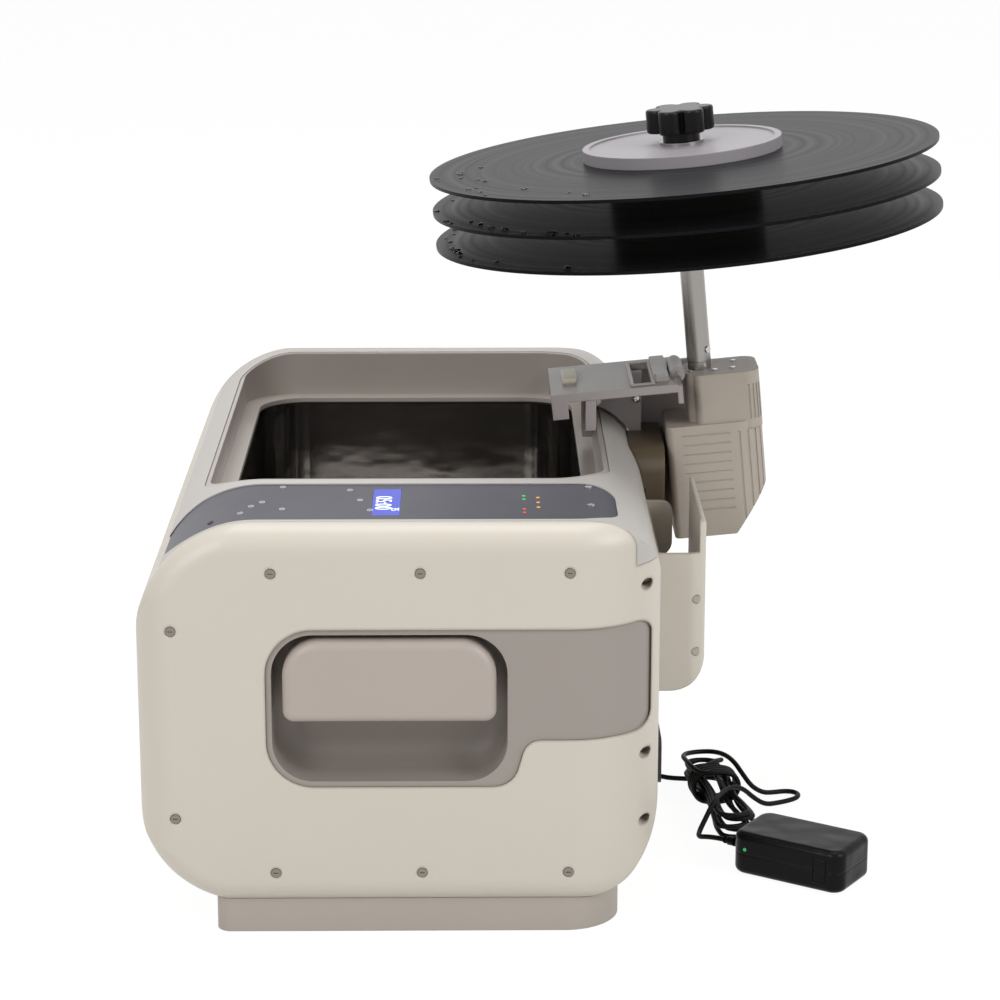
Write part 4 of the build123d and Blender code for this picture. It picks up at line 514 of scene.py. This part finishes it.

# ---------------------------------------------------------------- metal parts
# Screws and small turned parts are bright nickel, but the end caps' screws are darkened with painted shade
# for their recesses; hidden sheet parts are zinc plated.


def drawn_metal():
    """Metal that was drawn or turned: fine lines along one way, and uneven handling marks."""
    inputs = (
        ("Colour", "Color", (0.6, 0.6, 0.6, 1)),
        ("Roughness", "Float", 0.25),
        ("Lines", "Vector", (40.0, 40.0, 2500.0)),
        ("Line depth", "Float", 0.1),
        ("Smudge", "Float", 0.15),
        ("Line height", "Float", 0.0001),
    )
    outputs = (("Colour", "Color"), ("Roughness", "Float"), ("Normal", "Vector"))
    tree, given, out = effect("drawn_metal", inputs, outputs)
    new, link = tree.nodes.new, tree.links.new
    place = new("ShaderNodeTexCoord").outputs["Object"]
    stretch = new("ShaderNodeVectorMath")
    stretch.operation = "MULTIPLY"
    link(place, stretch.inputs[0])
    link(given.outputs["Lines"], stretch.inputs[1])
    lines = new("ShaderNodeTexNoise")
    lines.inputs["Scale"].default_value = 1
    lines.inputs["Detail"].default_value = 3
    link(stretch.outputs[0], lines.inputs["Vector"])
    marks = new("ShaderNodeTexNoise")
    marks.inputs["Scale"].default_value = 16
    marks.inputs["Detail"].default_value = 5
    link(place, marks.inputs["Vector"])
    shade = new("ShaderNodeMath")
    shade.operation = "MULTIPLY_ADD"
    link(marks.outputs[0], shade.inputs[0])
    shade.inputs[1].default_value = 0.16
    shade.inputs[2].default_value = 0.92
    tint = new("ShaderNodeVectorMath")
    tint.operation = "SCALE"
    link(given.outputs["Colour"], tint.inputs[0])
    link(shade.outputs[0], tint.inputs["Scale"])
    link(tint.outputs[0], out.inputs["Colour"])
    dull = new("ShaderNodeMath")
    dull.operation = "MULTIPLY_ADD"
    link(marks.outputs[0], dull.inputs[0])
    link(given.outputs["Smudge"], dull.inputs[1])
    link(given.outputs["Roughness"], dull.inputs[2])
    link(dull.outputs[0], out.inputs["Roughness"])
    bump = new("ShaderNodeBump")
    link(given.outputs["Line depth"], bump.inputs["Strength"])
    link(given.outputs["Line height"], bump.inputs["Distance"])
    link(lines.outputs[0], bump.inputs["Height"])
    link(bump.outputs[0], out.inputs["Normal"])
    return tree


DRAWN_METAL = drawn_metal()


def metal(name, colour, rough=0.22, lines=(40, 40, 2500), depth=0.1, smudge=0.15, height=0.0001):
    """A material for one bare metal finish."""
    material = bpy.data.materials.new(name)
    material.use_nodes = True
    nodes, links = material.node_tree.nodes, material.node_tree.links
    shader = nodes["Principled BSDF"]
    shader.inputs["Metallic"].default_value = 1.0
    surface = nodes.new("ShaderNodeGroup")
    surface.node_tree = DRAWN_METAL
    for socket, value in zip(surface.inputs, (colour, rough, lines, depth, smudge, height)):
        socket.default_value = value
    links.new(surface.outputs["Colour"], shader.inputs["Base Color"])
    links.new(surface.outputs["Roughness"], shader.inputs["Roughness"])
    links.new(surface.outputs["Normal"], shader.inputs["Normal"])
    return material


bright_nickel = metal("bright_nickel", (0.56, 0.56, 0.57, 1), 0.18, (900, 900, 900), 0.05, 0.12)
turned_nickel = metal("turned_nickel", (0.34, 0.325, 0.31, 1), 0.20, (30, 30, 3200), 0.18, 0.12)
zinc_plate = metal("zinc_plate", (0.48, 0.50, 0.50, 1), 0.34, (60, 60, 60), 0.05, 0.2)
cast_aluminium = metal("cast_aluminium", (0.62, 0.62, 0.63, 1), 0.38, (30, 30, 1800), 0.2, 0.1)
# Painted shade: a darker nickel on the end caps' screws stands in for the shade in their recesses.
recess_shaded_nickel = metal("recess_shaded_nickel", (0.26, 0.235, 0.20, 1), 0.26, (900, 900, 900), 0.1, 0.15)
dress(recess_shaded_nickel, "panel_end_screws", "plain_end_screws")
dress(
    bright_nickel,
    "strip_screws",
    "saddle_screws",
    "motor_case_screws",
    "adapter_prongs",
    "set_screw",
)
dress(turned_nickel, "hinge_pin", "drive_shaft", "spindle_tube", "clamp_washer", "shaft_bush")
dress(zinc_plate, "panel_end_frame", "plain_end_frame")
dress(cast_aluminium, "transducers")

# ---------------------------------------------------------------- tank
# Deep-drawn stainless tank with faint drawing marks, silicone heating mats on its long
# walls, and the pads between the bracket and the rim.
drawn_steel = metal("drawn_steel", (0.33, 0.316, 0.303, 1), 0.10, (12, 12, 26), 0.7, 0.08, 0.0014)
dress(drawn_steel, "steel_tank")
mat_silicone = moulded("mat_silicone", paint(150, 92, 62), 0.62, 0.1, 900, 0.3, 0.0004, 0.0)
pad_silicone = moulded("pad_silicone", paint(120, 112, 104), 0.70, 0.08, 900, 0.3, 0.0004, 0.0)
dress(mat_silicone, "heater_mats")
dress(pad_silicone, "rim_pads")

# ---------------------------------------------------------------- boards, fan and inlet
# Varnished green boards behind the strip and under the tank, a small case fan, and the
# flanged socket that the mains lead plugs into.
board_varnish = moulded("board_varnish", paint(36, 92, 58), 0.30, 0.2, 700, 0.2, 0.0002, 0.0)
fan_moulding = moulded("fan_moulding", paint(30, 30, 31), 0.45, 0.1, 1500, 0.15, 0.0004, 0.06)
dress(board_varnish, "control_board", "generator_board")
dress(fan_moulding, "fan_frame", "fan_impeller", "mains_inlet")

# ---------------------------------------------------------------- control strip
# A satin blue-grey film with touch marks over its sensors, a backlit display in its middle
# and indicator lights in three colours by its right end.
strip_film = moulded("strip_film", paint(66, 65, 75), 0.30, 0.10, 2600, 0.05, 0.0004, 0.15, 0.2)
dress(strip_film, "control_strip")
display_glass = bpy.data.materials.new("display_glass")
display_glass.use_nodes = True
nodes, links = display_glass.node_tree.nodes, display_glass.node_tree.links
shader = nodes["Principled BSDF"]
shader.inputs["Roughness"].default_value = 0.12
glow_field = nodes.new("ShaderNodeTexNoise")
glow_field.inputs["Scale"].default_value = 60
glow_ramp = nodes.new("ShaderNodeValToRGB")
glow_ramp.color_ramp.elements[0].color = (0.003, 0.012, 0.24, 1)
glow_ramp.color_ramp.elements[1].color = (0.006, 0.030, 0.38, 1)
place = nodes.new("ShaderNodeTexCoord")
links.new(place.outputs["Object"], glow_field.inputs["Vector"])
links.new(glow_field.outputs[0], glow_ramp.inputs[0])
links.new(glow_ramp.outputs[0], shader.inputs["Base Color"])
links.new(glow_ramp.outputs[0], shader.inputs["Emission Color"])
shader.inputs["Emission Strength"].default_value = 0.9
shader.inputs["Specular IOR Level"].default_value = 0.2
dress(display_glass, "display_window")

STRIP_TOP = 0.2271
FRONT_ROUND_START = -0.076
FRONT_ROUND = 0.0634


def strip_place(x, y, proud):
    """A place on the film and its lean, flat on top and rolling down over the front edge."""
    past = max(0.0, FRONT_ROUND_START - x)
    lean = atan2(past, sqrt(FRONT_ROUND**2 - past**2))
    drop = FRONT_ROUND * (1 - cos(lean))
    return (x, y, STRIP_TOP - drop + proud), (0, -lean, 0)


def printed(name, dullness, colour, glow):
    """Ink or light on the film, a little uneven."""
    material = bpy.data.materials.new(name)
    material.use_nodes = True
    nodes, links = material.node_tree.nodes, material.node_tree.links
    shader = nodes["Principled BSDF"]
    shader.inputs["Roughness"].default_value = dullness
    shader.inputs["Emission Strength"].default_value = glow
    speckle = nodes.new("ShaderNodeTexNoise")
    speckle.inputs["Scale"].default_value = 900
    ramp = nodes.new("ShaderNodeValToRGB")
    ramp.color_ramp.elements[0].color = tuple(0.8 * value for value in colour[:3]) + (1,)
    ramp.color_ramp.elements[1].color = colour
    place = nodes.new("ShaderNodeTexCoord")
    links.new(place.outputs["Object"], speckle.inputs["Vector"])
    links.new(speckle.outputs[0], ramp.inputs[0])
    links.new(ramp.outputs[0], shader.inputs["Base Color"])
    links.new(ramp.outputs[0], shader.inputs["Emission Color"])
    return material


def plain_words(name, text, size, x, y, material):
    """Plain figures on the film, read from the machine's front."""
    place, lean = strip_place(x, y, 0.00004)
    bpy.ops.object.text_add(location=place, rotation=(0, lean[1], radians(-90)))
    figures = bpy.context.active_object
    figures.data.body = text
    figures.data.size = size
    figures.data.align_x = "CENTER"
    figures.data.align_y = "CENTER"
    figures.data.extrude = 0.00004
    bpy.ops.object.convert(target="MESH")
    figures = join_pieces(name, [bpy.context.active_object])
    finish_piece(figures, material, "base")


backlit_figures = printed("backlit_figures", 0.4, (0.85, 0.90, 1.0, 1), 0.9)
white_ink = printed("white_ink", 0.5, (0.62, 0.62, 0.64, 1), 0.0)
plain_words("display_figures", "05:00", 0.0125, -0.0095, -0.177, backlit_figures)
plain_words("display_level", "35", 0.0062, -0.0028, -0.190, backlit_figures)

# The touch marks: small printed rings over the sensors, each with a dot in it.
TOUCH_MARKS = (
    (-0.0847, -0.1947),
    (-0.0798, -0.1826),
    (-0.0744, -0.1744),
    (-0.0651, -0.1428),
    (-0.0628, -0.1888),
    (-0.0281, -0.1496),
    (-0.0219, -0.1707),
    (-0.0159, -0.1913),
)
marks = []
for x, y in TOUCH_MARKS:
    place, lean = strip_place(x, y, 0.00003)
    bpy.ops.mesh.primitive_torus_add(
        location=place,
        rotation=lean,
        major_radius=0.0013,
        minor_radius=0.00028,
        major_segments=20,
        minor_segments=6,
    )
    ring = bpy.context.active_object
    ring.scale = (1, 1.5, 0.25)
    marks.append(ring)
    bpy.ops.mesh.primitive_cylinder_add(
        vertices=12, radius=0.0004, depth=0.0001, location=place, rotation=lean
    )
    dot = bpy.context.active_object
    dot.scale = (1, 2.0, 1)
    marks.append(dot)
touch_marks = join_pieces("touch_marks", marks)
finish_piece(touch_marks, white_ink, "base")

# The indicator lights: domed windows in two rows, green and red in one, amber in the other.
INDICATORS = (
    ("green_light", (0.02, 0.42, 0.06, 1), ((0.0665, -0.1630), (0.0665, -0.1700))),
    ("red_light", (0.50, 0.03, 0.02, 1), ((0.0665, -0.1900), (0.0665, -0.1970))),
    ("amber_light", (0.60, 0.30, 0.02, 1), ((0.0740, -0.1665), (0.0740, -0.1765), (0.0740, -0.1865))),
)
for name, colour, places in INDICATORS:
    lights = []
    for x, y in places:
        bpy.ops.mesh.primitive_uv_sphere_add(
            segments=20, ring_count=10, radius=0.0011, location=(x, y, STRIP_TOP - 0.0001)
        )
        light = bpy.context.active_object
        light.scale = (1, 1.3, 0.35)
        lights.append(light)
    lights = join_pieces(name + "s", lights)
    smooth_piece(lights)
    finish_piece(lights, printed(name, 0.2, colour, 0.8), "base")

# The remote control's eye, a dark oval where the film rolls over the front edge.
place, lean = strip_place(-0.1003, -0.1986, 0.0)
bpy.ops.mesh.primitive_cylinder_add(vertices=32, radius=0.0017, depth=0.0006, location=place, rotation=lean)
eye = bpy.context.active_object
bpy.ops.object.mode_set(mode="EDIT")
bpy.ops.mesh.select_all(action="SELECT")
bpy.ops.mesh.bevel(offset=0.0002, segments=2, affect="EDGES")
bpy.ops.object.mode_set(mode="OBJECT")
eye.scale = (1, 1.7, 1)
eye = join_pieces("remote_eye", [eye])
finish_piece(eye, plug_skin, "base")

# ---------------------------------------------------------------- rear holder
# Open cream pocket for small tools, on two screws whose heads are painted over.
dress(cream_moulding, "rear_holder")
painted_screw = moulded("painted_screw", paint(178, 174, 156), 0.40, 0.1, 900, 0.1, 0.0004, 0.1)
dress(painted_screw, "holder_screws")

# ---------------------------------------------------------------- saddle and leg
# Grey bracket over the rear rim with a release slide, and a dark leg down the outside that
# feeds the supply to the rack's motor.
saddle_moulding = moulded("saddle_moulding", paint(158, 151, 151), 0.30, 0.06, 1700, 0.10, 0.0009, 0.20)
slide_moulding = moulded("slide_moulding", paint(172, 166, 160), 0.30, 0.05, 1700, 0.1, 0.0006, 0.20)
# The leg's rounded edges get a painted highlight.
leg_moulding = moulded("leg_moulding", paint(88, 76, 61), 0.36, 0.15, 1500, 0.15, 0.0012, 0.7)
dress(saddle_moulding, "saddle_bracket")
dress(slide_moulding, "lock_slider")
dress(leg_moulding, "outer_leg")
SHAFT_FOOT = Vector((0.176, 0.0366, 0.2537))
SHAFT_LEAN = radians(-5.4)


def rack_place(x, y, z):
    """A point of the rack, in millimetres from the shaft's foot and up the shaft."""
    return SHAFT_FOOT + Vector(
        (
            (x * cos(SHAFT_LEAN) + z * sin(SHAFT_LEAN)) / 1000,
            y / 1000,
            (z * cos(SHAFT_LEAN) - x * sin(SHAFT_LEAN)) / 1000,
        )
    )


def soften(piece, width, segments=2):
    """Rounds a new piece's edges and smooths its faces."""
    bpy.context.view_layer.objects.active = piece
    piece.select_set(True)
    bpy.ops.object.mode_set(mode="EDIT")
    bpy.ops.mesh.select_all(action="SELECT")
    bpy.ops.mesh.normals_make_consistent(inside=False)
    bpy.ops.mesh.bevel(offset=width, segments=segments, affect="EDGES")
    bpy.ops.object.mode_set(mode="OBJECT")
    smooth_piece(piece, SHARP)


def raised_border(name, place, lean, length, width, band, rise):
    """A rectangular ring of even band, standing proud of the face that it lies on."""
    bpy.ops.mesh.primitive_plane_add(size=1, location=place, rotation=lean)
    border = bpy.context.active_object
    border.scale = (length, width, 1)
    bpy.ops.object.transform_apply(location=False, rotation=False, scale=True)
    bpy.ops.object.mode_set(mode="EDIT")
    bpy.ops.mesh.select_all(action="SELECT")
    bpy.ops.mesh.inset(thickness=band)
    bpy.ops.mesh.delete(type="FACE")
    bpy.ops.mesh.select_all(action="SELECT")
    bpy.ops.mesh.extrude_region_move(TRANSFORM_OT_translate={"value": (0, 0, rise), "orient_type": "LOCAL"})
    bpy.ops.object.mode_set(mode="OBJECT")
    return join_pieces(name, [border])


# The pale ring round the slot in the plate.  Its side nearest the release slide stands in
# the slide's way.
slot_frame = raised_border(
    "slot_frame",
    place=rack_place(-36, -4, 0.02),
    lean=(0, SHAFT_LEAN, 0),
    length=0.0150,
    width=0.0605,
    band=0.0022,
    rise=0.0013,
)
soften(slot_frame, 0.0004)
finish_piece(slot_frame, slide_moulding, "base")

# The cream cap on the plate's front lug.
lug_moulding = moulded("lug_moulding", paint(196, 190, 172), 0.34, 0.05, 1500, 0.1, 0.0006, 0.1)
bpy.ops.mesh.primitive_cube_add(size=1, location=rack_place(-79, 2.5, 1.9), rotation=(0, SHAFT_LEAN, 0))
lug_cap = bpy.context.active_object
lug_cap.scale = (0.0088, 0.0278, 0.0034)
lug_cap = join_pieces("lug_cap", [lug_cap])
soften(lug_cap, 0.0009, 3)
finish_piece(lug_cap, lug_moulding, "base")

# The heads of the two screws in the saddle's partition, with a raised cross on each.
SADDLE_SCREWS = ((0.1122, 0.2299), (0.1386, 0.2319))
HEAD_RADIUS = 0.0026
HEAD_Y = 0.0486
CROSS_Y = 0.04735
heads = []
for x, z in SADDLE_SCREWS:
    bpy.ops.mesh.primitive_uv_sphere_add(
        segments=24,
        ring_count=12,
        radius=HEAD_RADIUS,
        location=(x, HEAD_Y, z),
        rotation=(radians(90), 0, 0),
    )
    head = bpy.context.active_object
    head.scale = (1, 1, 0.55)
    heads.append(head)
    for turn in (radians(20), radians(110)):
        bpy.ops.mesh.primitive_cube_add(size=1, location=(x, CROSS_Y, z), rotation=(0, turn, 0))
        bar = bpy.context.active_object
        bar.scale = (0.0030, 0.0006, 0.0006)
        heads.append(bar)
screw_heads = join_pieces("saddle_screw_heads", heads)
smooth_piece(screw_heads, SHARP)
finish_piece(screw_heads, bright_nickel, "base")

# ---------------------------------------------------------------- motor case
# Two taupe half shells with cooling grooves, under a grey top plate on four small screws.
case_moulding = moulded("case_moulding", paint(170, 160, 150), 0.36, 0.05, 1700, 0.12, 0.0009, 0.14)
plate_moulding = moulded("plate_moulding", paint(160, 152, 147), 0.36, 0.05, 1700, 0.12, 0.0005, 0.12)
dress(case_moulding, "motor_case_near", "motor_case_far")
dress(plate_moulding, "motor_top_plate")
motor_paint = moulded("motor_paint", paint(92, 92, 94), 0.35, 0.1, 900, 0.1, 0.0005, 0.1)
dress(motor_paint, "gearmotor")

# ---------------------------------------------------------------- records and clamp
# Three pressed discs between hard spacers on the spindle, under a pale clamp disc and a
# black star knob.


def pressed_grooves():
    """Bands of fine grooves by distance from the disc's middle."""
    inputs = (
        ("Position", "Vector", (0, 0, 0)),
        ("Dark", "Color", (0.004, 0.004, 0.005, 1)),
        ("Light", "Color", (0.010, 0.010, 0.012, 1)),
    )
    outputs = (("Colour", "Color"), ("Roughness", "Float"), ("Normal", "Vector"))
    tree, given, out = effect("pressed_grooves", inputs, outputs)
    new, link = tree.nodes.new, tree.links.new
    flat = new("ShaderNodeVectorMath")
    flat.operation = "MULTIPLY"
    flat.inputs[1].default_value = (1, 1, 0)
    link(given.outputs["Position"], flat.inputs[0])
    radius = new("ShaderNodeVectorMath")
    radius.operation = "LENGTH"
    link(flat.outputs[0], radius.inputs[0])
    band = new("ShaderNodeTexNoise")
    band.noise_dimensions = "1D"
    band.inputs["Scale"].default_value = 190
    band.inputs["Detail"].default_value = 3
    link(radius.outputs["Value"], band.inputs["W"])
    groove = new("ShaderNodeTexNoise")
    groove.noise_dimensions = "1D"
    groove.inputs["Scale"].default_value = 1500
    groove.inputs["Detail"].default_value = 1
    link(radius.outputs["Value"], groove.inputs["W"])
    ramp = new("ShaderNodeValToRGB")
    ramp.color_ramp.elements[0].position = 0.40
    ramp.color_ramp.elements[1].position = 0.62
    link(band.outputs[0], ramp.inputs[0])
    mix = new("ShaderNodeMix")
    mix.data_type = "RGBA"
    link(ramp.outputs[0], mix.inputs["Factor"])
    link(given.outputs["Dark"], mix.inputs["A"])
    link(given.outputs["Light"], mix.inputs["B"])
    link(mix.outputs["Result"], out.inputs["Colour"])
    dull = new("ShaderNodeMapRange")
    dull.inputs["To Min"].default_value = 0.24
    dull.inputs["To Max"].default_value = 0.40
    link(band.outputs[0], dull.inputs["Value"])
    link(dull.outputs[0], out.inputs["Roughness"])
    bump = new("ShaderNodeBump")
    bump.inputs["Distance"].default_value = 0.0001
    bump.inputs["Strength"].default_value = 0.5
    link(groove.outputs[0], bump.inputs["Height"])
    link(bump.outputs[0], out.inputs["Normal"])
    return tree


PRESSED_GROOVES = pressed_grooves()
vinyl = bpy.data.materials.new("pressed_vinyl")
vinyl.use_nodes = True
nodes, links = vinyl.node_tree.nodes, vinyl.node_tree.links
shader = nodes["Principled BSDF"]
shader.inputs["Specular IOR Level"].default_value = 0.05
centred = nodes.new("ShaderNodeMapping")
centred.vector_type = "TEXTURE"
centred.inputs["Location"].default_value = SHAFT_FOOT
centred.inputs["Rotation"].default_value = (0, SHAFT_LEAN, 0)
place = nodes.new("ShaderNodeTexCoord")
grooves = nodes.new("ShaderNodeGroup")
grooves.node_tree = PRESSED_GROOVES
links.new(place.outputs["Object"], centred.inputs["Vector"])
links.new(centred.outputs[0], grooves.inputs["Position"])
links.new(grooves.outputs["Colour"], shader.inputs["Base Color"])
links.new(grooves.outputs["Roughness"], shader.inputs["Roughness"])
links.new(grooves.outputs["Normal"], shader.inputs["Normal"])
dress(vinyl, "record_lower", "record_middle", "record_upper")

# Rinsing water left in drops near the discs' front edges.
clear_water = bpy.data.materials.new("clear_water")
clear_water.use_nodes = True
nodes, links = clear_water.node_tree.nodes, clear_water.node_tree.links
shader = nodes["Principled BSDF"]
shader.inputs["Base Color"].default_value = (0.9, 0.93, 0.95, 1)
shader.inputs["Transmission Weight"].default_value = 1.0
shader.inputs["IOR"].default_value = 1.33
ripple = nodes.new("ShaderNodeTexNoise")
ripple.inputs["Scale"].default_value = 500
clarity = nodes.new("ShaderNodeMapRange")
clarity.inputs["To Min"].default_value = 0.02
clarity.inputs["To Max"].default_value = 0.08
place = nodes.new("ShaderNodeTexCoord")
links.new(place.outputs["Object"], ripple.inputs["Vector"])
links.new(ripple.outputs[0], clarity.inputs["Value"])
links.new(clarity.outputs[0], shader.inputs["Roughness"])
DISC_TOPS = (90.8, 110.9, 131.0)
DROPS_ON_A_DISC = 16
TOP_DISC_BAND = (118, 148)
LOWER_DISC_BAND = (138, 149)
chance = Random(12)
drops = []
for level in DISC_TOPS:
    band = TOP_DISC_BAND if level == DISC_TOPS[-1] else LOWER_DISC_BAND
    for _ in range(DROPS_ON_A_DISC):
        turn = radians(chance.uniform(160, 245))
        out = chance.uniform(*band)
        size = chance.uniform(0.7, 2.1)
        bpy.ops.mesh.primitive_uv_sphere_add(
            segments=14,
            ring_count=8,
            radius=size / 1000,
            location=rack_place(out * cos(turn), out * sin(turn), level),
            rotation=(0, SHAFT_LEAN, chance.uniform(0, pi)),
        )
        drop = bpy.context.active_object
        drop.scale = (1, chance.uniform(1.0, 1.9), 0.42)
        drops.append(drop)
water_drops = join_pieces("water_drops", drops)
smooth_piece(water_drops)
finish_piece(water_drops, clear_water, "spindle")

clamp_moulding = moulded("clamp_moulding", paint(148, 144, 149), 0.34, 0.05, 1500, 0.1, 0.0008, 0.15)
spacer_moulding = moulded("spacer_moulding", paint(160, 154, 150), 0.40, 0.05, 1500, 0.1, 0.0006, 0.1)
dress(clamp_moulding, "clamp_disc")
dress(spacer_moulding, "backing_disc", "record_spacers")
# The knob's edges get a strong painted highlight.
knob_moulding = moulded("knob_moulding", paint(12, 11, 12), 0.18, 0.1, 1800, 0.06, 0.0012, 1.0, 0.2)
dress(knob_moulding, "clamp_knob")

# ---------------------------------------------------------------- mains adapter
# Glossy black adapter of two half shells, with a small green light and its lead's relief.
# Its edges get a strong painted highlight.
adapter_moulding = moulded(
    "adapter_moulding", paint(7, 6, 8), 0.20, 0.08, 2400, 0.03, 0.0016, 1.5, 0.13, 55, 0.5
)
dress(adapter_moulding, "adapter_base", "adapter_cover")
ADAPTER_MIDDLE = Vector((0.2246, -0.1436, 0))
ADAPTER_TURN = radians(-33)
NEAR_FACE_LEAN = (radians(90), 0, ADAPTER_TURN)


def adapter_place(x, y, z):
    """A point of the adapter, in millimetres along and across it from its middle."""
    return ADAPTER_MIDDLE + Vector(
        (
            (x * cos(ADAPTER_TURN) - y * sin(ADAPTER_TURN)) / 1000,
            (x * sin(ADAPTER_TURN) + y * cos(ADAPTER_TURN)) / 1000,
            z / 1000,
        )
    )


bpy.ops.mesh.primitive_uv_sphere_add(
    segments=20,
    ring_count=10,
    radius=0.0011,
    location=adapter_place(-25.5, -20.45, 15.5),
    rotation=NEAR_FACE_LEAN,
)
adapter_light = bpy.context.active_object
adapter_light.scale = (1, 1, 0.5)
adapter_light = join_pieces("adapter_light", [adapter_light])
smooth_piece(adapter_light)
finish_piece(adapter_light, printed("green_glow", 0.2, (0.01, 0.30, 0.10, 1), 0.7), "base")

# The raised border of the moulded panel at the near face's right end.
panel_border = raised_border(
    "panel_border",
    place=adapter_place(21, -20.46, 12.6),
    lean=NEAR_FACE_LEAN,
    length=0.0085,
    width=0.0145,
    band=0.0007,
    rise=0.0004,
)
soften(panel_border, 0.00015)
finish_piece(panel_border, adapter_moulding, "base")
